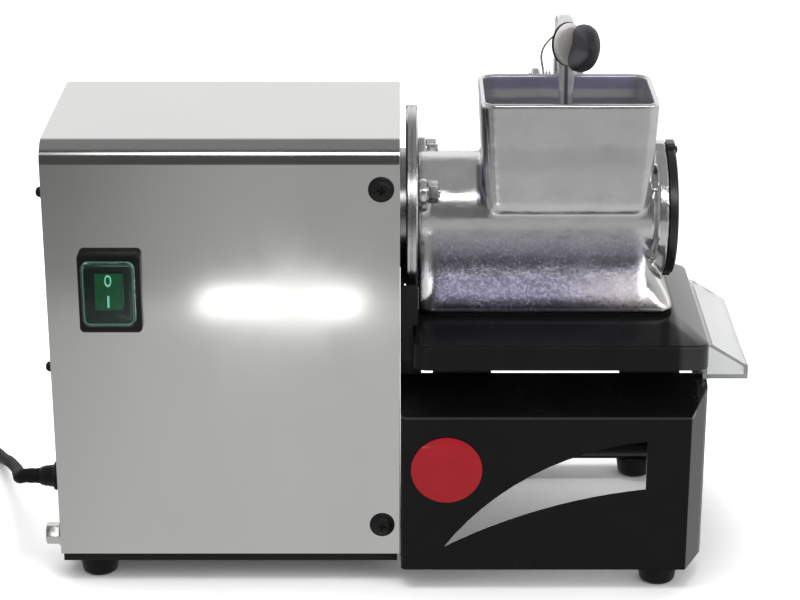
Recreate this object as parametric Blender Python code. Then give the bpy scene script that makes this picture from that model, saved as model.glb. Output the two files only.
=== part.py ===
"""Electric grater: a motor in a stainless box, a cast body with hopper and lever, and a clear drawer.

Metres, +Z up, the machine's front facing -Y. Pieces are placed from the lower right front corner of
the motor box, and the empty machine_frame moves them all, so that the world origin lies on the table
under the middle of the machine.
"""

import math

import bmesh
import bpy
from mathutils import Matrix, Vector

MM = 0.001

# Fits shared by all pieces
CLEARANCE = 0.3 * MM
RUNNING_GAP = 1.0 * MM
OVERRUN = 2.0 * MM

# Motor box
COVER_LENGTH = 229.0 * MM
COVER_DEPTH = 153.0 * MM
COVER_HEIGHT = 290.0 * MM
COVER_WALL = 1.2 * MM
COVER_BEND = 14.0 * MM
PAN_REVEAL = 5.8 * MM
PAN_HEIGHT = 19.5 * MM
PAN_SHEET = 1.5 * MM
END_SETBACK = 2.0 * MM
END_SHEET = 2.0 * MM
END_FLANGE = 18.0 * MM
VENT_COUNT = 7
VENT_LENGTH = 54.0 * MM
VENT_WIDTH = 4.0 * MM
VENT_PITCH = 11.0 * MM
VENT_HEIGHT = 60.0 * MM
VENT_FROM_LEFT = 74.0 * MM

# Feet
FOOT_HEIGHT = 14.5 * MM
FOOT_RADIUS = 13.4 * MM
FOOT_ROUND = 3.2 * MM
FOOT_TAPER = 1.2 * MM
MOTOR_FOOT_INSET_X = 23.8 * MM
MOTOR_FOOT_INSET_Y = 17.4 * MM
BASE_FOOT_INSET_X = 29.9 * MM
BASE_FOOT_FROM_FRONT = 16.5 * MM
BASE_FOOT_FROM_REAR = 14.0 * MM

# Screws, gland and earth bolt on the box
SCREW_RADIUS = 8.4 * MM
SCREW_HEIGHT = 3.4 * MM
SCREW_SHANK = 2.4 * MM
SCREW_LENGTH = 12.0 * MM
SCREW_RECESS_RADIUS = 2.6 * MM
SCREW_FROM_RIGHT = 12.0 * MM
SCREW_FROM_TOP = 30.5 * MM
SCREW_FROM_LOW = 22.0 * MM
GLAND_Y = 25.0 * MM
GLAND_Z = 66.8 * MM
GLAND_COLLAR_RADIUS = 9.8 * MM
GLAND_COLLAR_LENGTH = 5.0 * MM
GLAND_NOSE_RADIUS = 7.6 * MM
GLAND_NOSE_TIP_RADIUS = 5.6 * MM
GLAND_NOSE_LENGTH = 10.0 * MM
GLAND_THREAD_RADIUS = 7.0 * MM
GLAND_THREAD_LENGTH = 10.0 * MM
GLAND_NUT_RADIUS = 11.0 * MM
GLAND_NUT_LENGTH = 4.0 * MM
EARTH_Y = 15.0 * MM
EARTH_Z = 28.4 * MM
EARTH_FLATS = 13.0 * MM
EARTH_HEAD = 8.6 * MM
EARTH_WASHER = 1.8 * MM
EARTH_WASHER_RADIUS = 8.5 * MM
EARTH_SHANK = 3.9 * MM
EARTH_LENGTH = 12.0 * MM

# Switch in the front of the box
SWITCH_FROM_LEFT = 40.0 * MM
SWITCH_FROM_TOP = 99.7 * MM
SWITCH_WIDTH = 38.6 * MM
SWITCH_HEIGHT = 54.0 * MM
SWITCH_DEPTH = 7.0 * MM
SWITCH_FLARE = 2.4 * MM
SWITCH_ROUND = 3.0 * MM
SWITCH_BODY_WIDTH = 29.0 * MM
SWITCH_BODY_HEIGHT = 36.0 * MM
SWITCH_BODY_DEPTH = 24.0 * MM
SWITCH_POCKET = 10.0 * MM
BOOT_RIM = 2.1 * MM
BOOT_WALL = 1.2 * MM
BOOT_HEIGHT = 4.8 * MM
BOOT_ROUND = 5.0 * MM
BOOT_DOME = 3.0 * MM
ROCKER_WIDTH = 16.6 * MM
ROCKER_HEIGHT = 25.0 * MM
ROCKER_PLAY = 2.0 * MM
ROCKER_PROUD = 9.0 * MM
ROCKER_VALLEY = 1.8 * MM
ROCKER_BACK = 6.0 * MM
ROCKER_PIVOT_Y = 4.0 * MM
ROCKER_PIVOT_RADIUS = 1.5 * MM
ROCKER_PIVOT_LENGTH = 2.0 * MM
ROCKER_TILT = -7.0
TERMINAL_WIDTH = 6.3 * MM
TERMINAL_THICK = 0.8 * MM
TERMINAL_LENGTH = 9.0 * MM

# Drive line: the drum's axis lies level with the middle of the box
FLANGE_INSET = 7.5 * MM
FLANGE_GAP = 4.0 * MM
FLANGE_THICK = 7.6 * MM
FLANGE_RIM = 29.0 * MM
FLANGE_CHAMFER = 1.0 * MM
SHAFT_RADIUS = 7.0 * MM
SHAFT_END_GAP = 1.0 * MM
BEARING_RADIUS = 15.0 * MM
BEARING_WIDTH = 9.0 * MM
MODULE_SHARE = 2.0 / 153.0
GEAR_TEETH = 58
PINION_TEETH = 14
GEAR_WIDTH = 12.0 * MM
PINION_WIDTH = 15.0 * MM
TOOTH_SHARE = 0.40
TIP_SHARE = 0.20
CASE_DEPTH = 34.0 * MM
CASE_WALL = 3.0 * MM
CASE_GAP = 1.6 * MM
CASE_ARC_STEPS = 12
MOTOR_SHAFT_RADIUS = 6.0 * MM
MOTOR_BOSS_RADIUS = 11.0 * MM
MOTOR_BOSS_LENGTH = 4.0 * MM
MOTOR_SHAFT_PROUD = 1.0 * MM
MOTOR_FRAME_WALL = 3.2 * MM
AIR_GAP = 1.0 * MM
STATOR_RADIUS = 55.0 * MM
STATOR_BORE_SHARE = 30.0 / 55.0
STATOR_SLOTS = 12
STATOR_SLOT_SHARE = 12.0 / 55.0
STACK_SHARE = 0.36
STACK_LESS = 20.44 * MM
WINDING_ROOM_SHARE = 26.0 / 229.0
WINDING_LENGTH = 18.0 * MM
WINDING_INNER_SHARE = 34.0 / 55.0
WINDING_OUTER_SHARE = 48.0 / 55.0
SHIELD_THICK = 4.0 * MM
FAN_RADIUS = 46.0 * MM
FAN_HUB_RADIUS = 12.0 * MM
FAN_DISC = 2.0 * MM
FAN_BLADE = 13.0 * MM
FAN_BLADES = 9
FAN_BLADE_SHARE = 0.08
FAN_BLADE_INSET = 2.0 * MM
SADDLE_WIDTH = 40.0 * MM
SADDLE_LENGTH = 30.0 * MM
SADDLE_SHEET = 2.5 * MM
SADDLE_PAD = 6.0 * MM
CAPACITOR_RADIUS = 17.0 * MM
CAPACITOR_LENGTH = 70.0 * MM
CAPACITOR_FROM_LEFT = 51.0 * MM
CAPACITOR_FROM_REAR = 31.0 * MM
CAPACITOR_EDGE = 2.0 * MM

# Cast grater body
BODY_GAP = 0.3 * MM
BARREL_SHARE = 38.0 / 69.0
BARREL_WALL = 3.4 * MM
BODY_FROM_BASE_RIGHT = 27.8 * MM
BODY_LEFT_WALL = 4.5 * MM
END_RING_WALL = 6.0 * MM
END_RING_LENGTH = 8.0 * MM
END_LUG_WIDTH = 13.0 * MM
END_LUG_PROUD = 2.5 * MM
STUD_STAND_OFF = 15.0 * MM
STUD_RADIUS = 3.8 * MM
STUD_ANGLES = (150.0, 30.0)
STUD_LUG_RADIUS = 9.0 * MM
STUD_LUG_LENGTH = 6.0 * MM
STUD_LENGTH = 21.0 * MM
STUD_BITE = 5.0 * MM
NUT_FLATS = 13.0 * MM
NUT_HEIGHT = 6.6 * MM
HOPPER_LEFT = 52.0 * MM
HOPPER_FROM_BODY_RIGHT = 8.2 * MM
HOPPER_PROUD = 1.5 * MM
HOPPER_REAR_SHY = 2.0 * MM
HOPPER_OVER_AXIS = 83.7 * MM
HOPPER_LOW_OVER_AXIS = 12.7 * MM
HOPPER_WALL = 4.0 * MM
HOPPER_CORNER = 10.0 * MM
HOPPER_DRAFT = 3.2 * MM
HOPPER_HEEL = 16.0 * MM
THROAT_OVER_AXIS = 20.7 * MM
THROAT_REACH = 26.5 * MM
THROAT_SIDE = 8.0 * MM
HOPPER_FRONT_WALL = 4.0 * MM
SKIRT_UNDER_AXIS = 55.0 * MM
SKIRT_LEFT = 12.4 * MM
SKIRT_FROM_BASE_RIGHT = 23.5 * MM
SKIRT_WAIST_FROM_RIGHT = 18.0 * MM
SKIRT_FRONT = 21.0 * MM
SKIRT_HEIGHT = 54.0 * MM
SKIRT_WALL = 4.0 * MM
SKIRT_CORNER = 12.0 * MM
# How far the skirt has spread from its waist to its foot, at shares of the way down
SKIRT_DOWN_SHARES = (0.0, 0.33, 0.74, 1.0)
SKIRT_SPREAD_SHARES = (0.0, 0.14, 0.62, 1.0)
HINGE_BEHIND_HOPPER = 9.0 * MM
HINGE_BELOW_RIM = 7.0 * MM
HINGE_GAP = 9.0 * MM
HINGE_GAP_RIGHT = 2.5 * MM
HINGE_LUG_RADIUS = 8.0 * MM
HINGE_LUG_THICK = 6.0 * MM
HINGE_LUG_DROP = 16.0 * MM
SEAL_THICK = 1.5 * MM
SEAL_WIDTH = 2.8 * MM
SEAL_INSET = 0.8 * MM

# End cap, drum and bush
CAP_THICK = 5.6 * MM
CAP_CHAMFER = 1.0 * MM
CAP_BOSS_RADIUS = 14.0 * MM
CAP_BOSS_LENGTH = 9.0 * MM
CAP_SCREW_RADIUS = 2.0 * MM
CAP_SCREW_BITE = 7.0 * MM
CAP_SCREW_STAND_OFF = 3.0 * MM
DRUM_TO_BORE = 3.6 * MM
DRUM_SHEET = 1.0 * MM
DRUM_GAP = 3.0 * MM
DRUM_ROWS = 20
DRUM_COLUMNS = 8
TOOTH_HEIGHT = 2.0 * MM
CROWN_FOOT_SHARE = 0.80
CROWN_TIP_SHARE = 0.46
CROWN_HOLE_SHARE = 0.40
HUB_LENGTH = 8.0 * MM
HUB_WEB = 3.0 * MM
HUB_BOSS_RADIUS = 12.0 * MM
BUSH_WALL = 3.0 * MM

# Lever, presser and grip
LEVER_FROM_HOPPER_RIGHT = 58.5 * MM
LEVER_THICK = 12.0 * MM
PIN_RADIUS = 3.0 * MM
PIN_PROUD = 1.5 * MM
PIN_HEAD = 4.6 * MM
PRESSER_SIDE_GAP = 1.5 * MM
PRESSER_GAP = 3.0 * MM
PRESSER_REAR_REACH = 23.5 * MM
PRESSER_BELOW_RIM = 35.0 * MM
PRESSER_FROM_HOPPER_LEFT = 9.5 * MM
PRESSER_FROM_HOPPER_RIGHT = 10.0 * MM
PRESSER_WALL = 3.0 * MM
PRESSER_WEB = 18.0 * MM
LEVER_EYE_RADIUS = 8.0 * MM
LEVER_LEG_DEPTH = 12.0 * MM
LEVER_RISE = 39.5 * MM
LEVER_APEX_REACH = 7.5 * MM
LEVER_CROTCH_DROP = 18.5 * MM
LEVER_FRONT_REACH = 39.5 * MM
LEVER_FRONT_DROP = 19.5 * MM
LEVER_FRONT_DEPTH = 11.5 * MM
LEVER_HEAD_DEPTH = 13.0 * MM
LEVER_FOOT_WIDTH = 7.0 * MM
LEVER_FOOT_DEPTH = 9.0 * MM
LEVER_FOOT_REACH = 41.5 * MM
GRIP_OFFSET = 2.5 * MM
GRIP_DROP = 10.5 * MM
GRIP_TURN = 21.0
GRIP_RISE = 7.0
GRIP_WIDTH = 20.0 * MM
GRIP_HEIGHT = 29.0 * MM
GRIP_LENGTH = 40.0 * MM
GRIP_COLLAR = 2.0 * MM
GRIP_STAND_OFF = 5.4 * MM
GRIP_BOSS_WIDTH = 10.0 * MM
GRIP_BOSS_HEIGHT = 16.0 * MM
GRIP_COLLAR_WIDTH = 23.0 * MM
GRIP_COLLAR_HEIGHT = 29.0 * MM
GRIP_FACE = 4.0 * MM
# The knob's half width at shares of its length
GRIP_ALONG_SHARES = (0.0, 0.06, 0.2, 0.42, 0.66, 0.84, 0.95, 1.0)
GRIP_SWELL_SHARES = (0.62, 0.74, 0.9, 1.0, 0.97, 0.82, 0.55, 0.25)
SPRING_WIRE = 0.75 * MM
SPRING_RADIUS = 5.0 * MM
SPRING_PITCH = 2.1 * MM
SPRING_TURNS = 3
SPRING_POINTS = 10
SPRING_BULGE = 9.0 * MM
SPRING_RISE = 31.0 * MM
SPRING_DROP = 12.0 * MM

# Base under the grater
BASE_GAP = 0.3 * MM
BASE_RIGHT = 204.5 * MM
BASE_FRONT = -12.0 * MM
BASE_BEHIND_BOX = 33.0 * MM
BASE_SHEET = 2.0 * MM
BASE_CORNER = 13.0 * MM
BASE_LEFT_CORNER = 4.0 * MM
BASE_UNDER_PLATE = 20.0 * MM
BASE_SLOPE_DROP = 14.6 * MM
BASE_LIP_Y = 27.0 * MM
BASE_LIP_DEPTH = 2.0 * MM
BASE_RAIL_FROM_BOX_REAR = 36.0 * MM
BASE_RAIL_LEFT = 14.0 * MM
BASE_RAIL_RIGHT = 8.5 * MM
BASE_BEAM = 10.0 * MM
BASE_REAR_POST_LEFT = 14.0 * MM
BASE_REAR_POST_RIGHT = 13.0 * MM
BASE_REAR_BAND = 15.0 * MM
BASE_SIDE_FRONT = 42.0 * MM
BASE_SIDE_REAR = 22.0 * MM
BASE_PAD = 36.0 * MM
BASE_REAR_FLANGE = 21.0 * MM
CRESCENT_TIP = (28.0 * MM, 30.0 * MM)
CRESCENT_UPPER_SHARE = 0.4185
CRESCENT_UPPER_Z = 82.8 * MM
CRESCENT_LOWER_SHARE = 0.4326
CRESCENT_LOWER_Z = 56.1 * MM
CRESCENT_FROM_RIGHT = 41.5 * MM
CRESCENT_HIGH = 109.0 * MM
CRESCENT_LOW = 73.5 * MM
CRESCENT_STEPS = 12
BADGE_X = 30.8 * MM
BADGE_Z = 88.6 * MM
BADGE_RADIUS = 23.6 * MM
BADGE_RIM = 0.6 * MM
BADGE_CROWN = 1.6 * MM

# Plate between base and grater
PLATE_LEFT = 8.4 * MM
PLATE_FROM_BASE_RIGHT = 3.5 * MM
PLATE_FRONT = -15.0 * MM
PLATE_FROM_BOX_REAR = 13.0 * MM
PLATE_EDGE_HEIGHT = 17.0 * MM
PLATE_RISE = 6.2 * MM
PLATE_WALL = 3.0 * MM
PLATE_CORNER = 9.0 * MM
PLATE_EASE = 1.2 * MM
BRACKET_FRONT = 5.0 * MM
BRACKET_SHEET = 2.5 * MM
BRACKET_OVER_PLATE = 27.8 * MM
OUTLET_LEFT = 34.0 * MM
OUTLET_FROM_PLATE_RIGHT = 43.0 * MM
OUTLET_FRONT_REACH = 33.5 * MM
OUTLET_REAR_REACH = 35.5 * MM
OUTLET_CORNER = 8.0 * MM
BLOCK_LEFT = 22.0 * MM
BLOCK_WIDTH = 39.0 * MM
BLOCK_SPARE = 76.0 * MM
BLOCK_DEPTH = 6.5 * MM
BLOCK_TAPER = 12.0 * MM
RUNNER_DEPTH = 6.0 * MM

# Drawer
DRAWER_LEFT = 22.0 * MM
DRAWER_BEHIND_RAIL = 5.5 * MM
DRAWER_WALL = 2.5 * MM
DRAWER_HEIGHT = 18.2 * MM
LIP_FROM_BASE_RIGHT = 2.9 * MM
LIP_WIDTH = 29.4 * MM
LIP_FRONT_Y = 18.0 * MM
LIP_CREST = 5.4 * MM
LIP_CREST_HEIGHT = 24.5 * MM
LIP_FRONT_HEIGHT = 9.5 * MM

# Mains cord
CORD_RADIUS = 4.2 * MM
COIL_X = -391.0 * MM
COIL_Y = 237.0 * MM
COIL_RADIUS = 70.0 * MM
COIL_STEP = 9.2 * MM
COIL_LAYER = 9.0 * MM
COIL_TURNS = 2
COIL_POINTS = 24
COIL_TAIL = 74.0 * MM
TABLE_GAP = 0.1 * MM
CORD_SPACING = 20.0 * MM
CORD_STRAIGHT = 10.0 * MM
PLUG_RADIUS = 18.5 * MM
PLUG_NECK_RADIUS = 6.5 * MM
PLUG_LENGTH = 46.0 * MM
PLUG_PIN_RADIUS = 2.4 * MM
PLUG_PIN_LENGTH = 19.0 * MM
PLUG_PIN_SPACING = 19.0 * MM
# The route is chosen by hand: out of the gland, down to the table and round to the coil.
CORD_ROUTE = (
    (-259.0 * MM, 30.0 * MM, 63.5 * MM),
    (-264.0 * MM, 52.0 * MM, 55.0 * MM),
    (-268.5 * MM, 76.0 * MM, 46.5 * MM),
    (-276.0 * MM, 103.0 * MM, 37.5 * MM),
    (-284.0 * MM, 130.0 * MM, 28.0 * MM),
    (-293.5 * MM, 163.0 * MM, 14.5 * MM),
    (-304.0 * MM, 192.0 * MM, 6.0 * MM),
)

# Sides of round pieces
BIG_SIDES = 32
MID_SIDES = 20
SMALL_SIDES = 10

# Places worked out from the sizes above
COVER_LOW = FOOT_HEIGHT + PAN_REVEAL
COVER_TOP = COVER_LOW + COVER_HEIGHT
PAN_TOP = FOOT_HEIGHT + PAN_HEIGHT
PAN_FLOOR = FOOT_HEIGHT + PAN_SHEET + CLEARANCE
INSIDE = COVER_WALL + CLEARANCE
AXIS_Y = COVER_DEPTH / 2
FLANGE_RADIUS = AXIS_Y - FLANGE_INSET
AXIS_Z = COVER_TOP - FLANGE_RADIUS
AXIS = (AXIS_Y, AXIS_Z)
MODULE = COVER_DEPTH * MODULE_SHARE
MOTOR_Z = AXIS_Z - MODULE * (GEAR_TEETH + PINION_TEETH) / 2
MOTOR = (AXIS_Y, MOTOR_Z)
STATOR_BORE = STATOR_RADIUS * STATOR_BORE_SHARE
STATOR_SLOT_DEPTH = STATOR_RADIUS * STATOR_SLOT_SHARE
ROTOR_RADIUS = STATOR_BORE - AIR_GAP
WINDING_INNER = STATOR_RADIUS * WINDING_INNER_SHARE
WINDING_OUTER = STATOR_RADIUS * WINDING_OUTER_SHARE
FLANGE_RIGHT = FLANGE_GAP + FLANGE_THICK
BODY_LEFT = FLANGE_RIGHT + BODY_GAP
END_LEFT = -END_SETBACK - END_SHEET
CASE_RIGHT = END_LEFT - CLEARANCE
CASE_LEFT = CASE_RIGHT - CASE_DEPTH
CASE_RADIUS = MODULE * GEAR_TEETH / 2 + MODULE + CASE_GAP + CASE_WALL
CASE_LOW_RADIUS = MODULE * PINION_TEETH / 2 + MODULE + CASE_GAP + CASE_WALL
PINION_LEFT = CASE_LEFT + CASE_WALL + RUNNING_GAP
GEAR_LEFT = PINION_LEFT + (PINION_WIDTH - GEAR_WIDTH) / 2
FRAME_RADIUS = STATOR_RADIUS + CLEARANCE + MOTOR_FRAME_WALL
STACK_FROM_CASE = COVER_LENGTH * WINDING_ROOM_SHARE
STACK_RIGHT = CASE_LEFT - STACK_FROM_CASE
STACK_LENGTH = COVER_LENGTH * STACK_SHARE - STACK_LESS
STACK_LEFT = STACK_RIGHT - STACK_LENGTH
FRAME_LEFT = STACK_LEFT - STACK_FROM_CASE
SHIELD_LEFT = FRAME_LEFT - CLEARANCE - SHIELD_THICK
FAN_RIGHT = SHIELD_LEFT - MOTOR_BOSS_LENGTH - RUNNING_GAP
FAN_LEFT = FAN_RIGHT - FAN_DISC - FAN_BLADE
DRUM_LEFT = BODY_LEFT + BODY_LEFT_WALL + DRUM_GAP
BODY_RIGHT = BASE_RIGHT - BODY_FROM_BASE_RIGHT
DRUM_RIGHT = BODY_RIGHT - CAP_BOSS_LENGTH - DRUM_GAP
CAP_LEFT = BODY_RIGHT + CLEARANCE
CAP_RIGHT = CAP_LEFT + CAP_THICK
BUSH_RADIUS = SHAFT_RADIUS + CLEARANCE + BUSH_WALL
SKIRT_LOW = AXIS_Z - SKIRT_UNDER_AXIS
SKIRT_TOP = SKIRT_LOW + SKIRT_HEIGHT
HOPPER_RIGHT = BODY_RIGHT - HOPPER_FROM_BODY_RIGHT
LEVER_X = HOPPER_RIGHT - LEVER_FROM_HOPPER_RIGHT
LEVER_LEFT = LEVER_X - LEVER_THICK / 2
LEVER_RIGHT = LEVER_X + LEVER_THICK / 2
HINGE_LEFT = LEVER_LEFT - HINGE_GAP - HINGE_LUG_THICK
HINGE_RIGHT = LEVER_RIGHT + HINGE_GAP_RIGHT + HINGE_LUG_THICK
BARREL_RADIUS = FLANGE_RADIUS * BARREL_SHARE
HOPPER_REAR = AXIS_Y + BARREL_RADIUS - HOPPER_REAR_SHY
HINGE_Y = HOPPER_REAR + HINGE_BEHIND_HOPPER
HOPPER_TOP = AXIS_Z + HOPPER_OVER_AXIS
HINGE_Z = HOPPER_TOP - HINGE_BELOW_RIM
HINGE = (HINGE_Y, HINGE_Z)
PLATE_TOP = SKIRT_LOW - SEAL_THICK - 2 * CLEARANCE
BASE_LEFT = BASE_GAP
PLATE_EDGE = PLATE_TOP - PLATE_RISE
PLATE_LOW = PLATE_EDGE - PLATE_EDGE_HEIGHT
BASE_TOP = PLATE_LOW - BASE_UNDER_PLATE
BASE_FOLD = BASE_TOP - BASE_SLOPE_DROP
BASE_SLOPE = (BASE_TOP - BASE_FOLD) / (BASE_LIP_Y - BASE_FRONT)
BLOCK_FRONT = BASE_LIP_Y + CLEARANCE
DRAWER_FRONT = BLOCK_FRONT + BLOCK_DEPTH + RUNNING_GAP
DRAWER_LOW = BASE_TOP + CLEARANCE
DRAWER_TOP = DRAWER_LOW + DRAWER_HEIGHT
SWITCH_FACE = -CLEARANCE - SWITCH_DEPTH
BASE_REAR = COVER_DEPTH + BASE_BEHIND_BOX
MIDDLE_Y = (PLATE_FRONT + BASE_REAR) / 2
GLAND_MOUTH = -COVER_LENGTH - CLEARANCE - GLAND_COLLAR_LENGTH - GLAND_NOSE_LENGTH
EARTH_END = -COVER_LENGTH - CLEARANCE - EARTH_WASHER - CLEARANCE - EARTH_HEAD
LIP_LEFT = BASE_RIGHT - LIP_FROM_BASE_RIGHT
LIP_RIGHT = LIP_LEFT + LIP_WIDTH
MIDDLE_X = (LIP_RIGHT + min(GLAND_MOUTH, EARTH_END)) / 2
CORD_Z = CORD_RADIUS + TABLE_GAP
PLUG_Z = PLUG_RADIUS + TABLE_GAP
CAPACITOR_X = CAPACITOR_FROM_LEFT - COVER_LENGTH
CAPACITOR_Y = COVER_DEPTH - CAPACITOR_FROM_REAR
SWITCH_X = SWITCH_FROM_LEFT - COVER_LENGTH
SWITCH_Z = COVER_TOP - SWITCH_FROM_TOP
HOPPER_FRONT = AXIS_Y - BARREL_RADIUS - HOPPER_PROUD
HOPPER_LOW = AXIS_Z + HOPPER_LOW_OVER_AXIS
THROAT_LOW = AXIS_Z + THROAT_OVER_AXIS
THROAT_FRONT = AXIS_Y - THROAT_REACH
THROAT_REAR = AXIS_Y + THROAT_REACH
SKIRT_RIGHT = BASE_RIGHT - SKIRT_FROM_BASE_RIGHT
SKIRT_WAIST_RIGHT = SKIRT_RIGHT - SKIRT_WAIST_FROM_RIGHT
PRESSER_REAR = AXIS_Y + PRESSER_REAR_REACH
PRESSER_TOP = HOPPER_TOP - PRESSER_BELOW_RIM
PRESSER_LEFT = HOPPER_LEFT + PRESSER_FROM_HOPPER_LEFT
PRESSER_RIGHT = HOPPER_RIGHT - PRESSER_FROM_HOPPER_RIGHT
LEVER_APEX_Z = HOPPER_TOP + LEVER_RISE
LEVER_APEX_Y = HINGE_Y - LEVER_APEX_REACH
LEVER_CROTCH_Z = LEVER_APEX_Z - LEVER_CROTCH_DROP
LEVER_FRONT_Y = HINGE_Y - LEVER_FRONT_REACH
LEVER_FRONT_Z = LEVER_APEX_Z - LEVER_FRONT_DROP
LEVER_FOOT_Y = HINGE_Y - LEVER_FOOT_REACH
GRIP_ROOT_X = LEVER_X - GRIP_OFFSET
GRIP_ROOT_Z = LEVER_APEX_Z - GRIP_DROP
BASE_RAIL_Y = COVER_DEPTH - BASE_RAIL_FROM_BOX_REAR
BASE_REAR_HIGH = BASE_TOP - BASE_REAR_BAND
CRESCENT_RIGHT = BASE_RIGHT - CRESCENT_FROM_RIGHT
PLATE_RIGHT = BASE_RIGHT - PLATE_FROM_BASE_RIGHT
PLATE_REAR = COVER_DEPTH - PLATE_FROM_BOX_REAR
BRACKET_TOP = PLATE_TOP + BRACKET_OVER_PLATE
OUTLET_RIGHT = PLATE_RIGHT - OUTLET_FROM_PLATE_RIGHT
OUTLET_FRONT = AXIS_Y - OUTLET_FRONT_REACH
OUTLET_REAR = AXIS_Y + OUTLET_REAR_REACH
BLOCK_SPACING = PLATE_RIGHT - BLOCK_SPARE
DRAWER_REAR = BASE_RAIL_Y + DRAWER_BEHIND_RAIL
LIP_REAR_Y = PLATE_REAR
LIP_CREST_X = LIP_LEFT + LIP_CREST
LIP_CREST_Z = BASE_TOP + LIP_CREST_HEIGHT
LIP_FRONT_Z = BASE_TOP + LIP_FRONT_HEIGHT
CRESCENT_SPAN = CRESCENT_RIGHT - CRESCENT_TIP[0]
CRESCENT_UPPER = (CRESCENT_TIP[0] + CRESCENT_SPAN * CRESCENT_UPPER_SHARE, CRESCENT_UPPER_Z)
CRESCENT_LOWER = (CRESCENT_TIP[0] + CRESCENT_SPAN * CRESCENT_LOWER_SHARE, CRESCENT_LOWER_Z)
FLANGE_HUB_RADIUS = FLANGE_RADIUS - FLANGE_RIM
BORE_RADIUS = BARREL_RADIUS - BARREL_WALL
DRUM_RADIUS = BORE_RADIUS - DRUM_TO_BORE
END_RING_RADIUS = BARREL_RADIUS + END_RING_WALL
END_LUG_REACH = END_RING_RADIUS + END_LUG_PROUD
STUD_CIRCLE = BARREL_RADIUS + STUD_STAND_OFF
CAP_SCREW_CIRCLE = BARREL_RADIUS + CAP_SCREW_STAND_OFF
PRESSER_REACH = HINGE_Y - HOPPER_FRONT - HOPPER_FRONT_WALL - PRESSER_SIDE_GAP
SKIRT_WAIST_FRONT = AXIS_Y - BARREL_RADIUS


def clear_scene():
    for obj in list(bpy.data.objects):
        bpy.data.objects.remove(obj, do_unlink=True)


def principled(name, colour, roughness, metallic=0.0, alpha=1.0):
    made = bpy.data.materials.new(name)
    made.use_nodes = True
    shader = made.node_tree.nodes["Principled BSDF"]
    shader.inputs["Base Color"].default_value = (*colour, 1.0)
    shader.inputs["Roughness"].default_value = roughness
    shader.inputs["Metallic"].default_value = metallic
    shader.inputs["Alpha"].default_value = alpha
    made.diffuse_color = (*colour, alpha)
    return made


def stainless():
    return principled("stainless", (0.62, 0.62, 0.60), 0.22, 1.0)


def cast_aluminium():
    return principled("cast_aluminium", (0.60, 0.60, 0.62), 0.28, 1.0)


def machined_steel():
    return principled("machined_steel", (0.50, 0.50, 0.50), 0.35, 1.0)


def zinc():
    return principled("zinc", (0.66, 0.66, 0.64), 0.32, 1.0)


def black_paint():
    return principled("black_paint", (0.012, 0.012, 0.013), 0.38)


def black_gloss():
    return principled("black_gloss", (0.008, 0.008, 0.010), 0.12)


def black_rubber():
    return principled("black_rubber", (0.016, 0.016, 0.016), 0.7)


def black_plastic():
    return principled("black_plastic", (0.018, 0.018, 0.019), 0.45)


def clear_plastic():
    return principled("clear_plastic", (0.90, 0.92, 0.91), 0.08, 0.0, 0.3)


def green_plastic():
    return principled("green_plastic", (0.0, 0.20, 0.07), 0.25)


def red_enamel():
    return principled("red_enamel", (0.55, 0.01, 0.02), 0.2)


def copper():
    return principled("copper", (0.60, 0.26, 0.12), 0.45, 1.0)


def nylon():
    return principled("nylon", (0.80, 0.79, 0.74), 0.5)


def place(across, up, along, axis):
    """A point given by its place along the axis and by the other two, in X, Y, Z order."""
    if axis == "X":
        return Vector((along, across, up))
    if axis == "Y":
        return Vector((across, along, up))
    return Vector((across, up, along))


def rounded(corners, radii, steps=4):
    """An outline through the corners, each rounded to its own radius."""
    points = []
    for index, radius in enumerate(radii):
        corner = Vector(corners[index])
        if radius == 0:
            points.append(tuple(corner))
            continue
        before = (Vector(corners[index - 1]) - corner).normalized()
        after = (Vector(corners[(index + 1) % len(corners)]) - corner).normalized()
        half = before.angle(after) / 2
        centre = corner + (before + after).normalized() * (radius / math.sin(half))
        first = corner + before * (radius / math.tan(half)) - centre
        last = corner + after * (radius / math.tan(half)) - centre
        start = math.atan2(first.y, first.x)
        turn = (math.atan2(last.y, last.x) - start + math.pi) % (2 * math.pi) - math.pi
        for step in range(steps + 1):
            angle = start + turn * step / steps
            points.append((centre.x + radius * math.cos(angle), centre.y + radius * math.sin(angle)))
    return points


def rectangle(low_across, high_across, low_up, high_up, radius=0, steps=4):
    corners = (
        (low_across, low_up),
        (high_across, low_up),
        (high_across, high_up),
        (low_across, high_up),
    )
    return rounded(corners, [radius] * 4, steps)


def circle(across, up, radius, sides):
    angles = [2 * math.pi * side / sides for side in range(sides)]
    return [(across + radius * math.cos(a), up + radius * math.sin(a)) for a in angles]


def hexagon(across, up, flats):
    radius = flats / math.sqrt(3)
    return [
        (across + radius * math.sin(math.pi * side / 3), up + radius * math.cos(math.pi * side / 3))
        for side in range(6)
    ]


def arc_through(first, middle, last, steps):
    """Points from first to last on the circle through all three."""
    ax, ay = first
    bx, by = middle
    cx, cy = last
    twice = 2 * (ax * (by - cy) + bx * (cy - ay) + cx * (ay - by))
    a2, b2, c2 = ax * ax + ay * ay, bx * bx + by * by, cx * cx + cy * cy
    ux = (a2 * (by - cy) + b2 * (cy - ay) + c2 * (ay - by)) / twice
    uy = (a2 * (cx - bx) + b2 * (ax - cx) + c2 * (bx - ax)) / twice
    radius = math.hypot(ax - ux, ay - uy)
    start = math.atan2(ay - uy, ax - ux)
    turn = (math.atan2(cy - uy, cx - ux) - start + math.pi) % (2 * math.pi) - math.pi
    angles = [start + turn * step / steps for step in range(steps + 1)]
    return [(ux + radius * math.cos(a), uy + radius * math.sin(a)) for a in angles]


def add_ring(bm, outline, axis, along):
    return [bm.verts.new(place(across, up, along, axis)) for across, up in outline]


def bridge(bm, first, second):
    for index in range(len(first)):
        bm.faces.new((first[index - 1], first[index], second[index], second[index - 1]))


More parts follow.
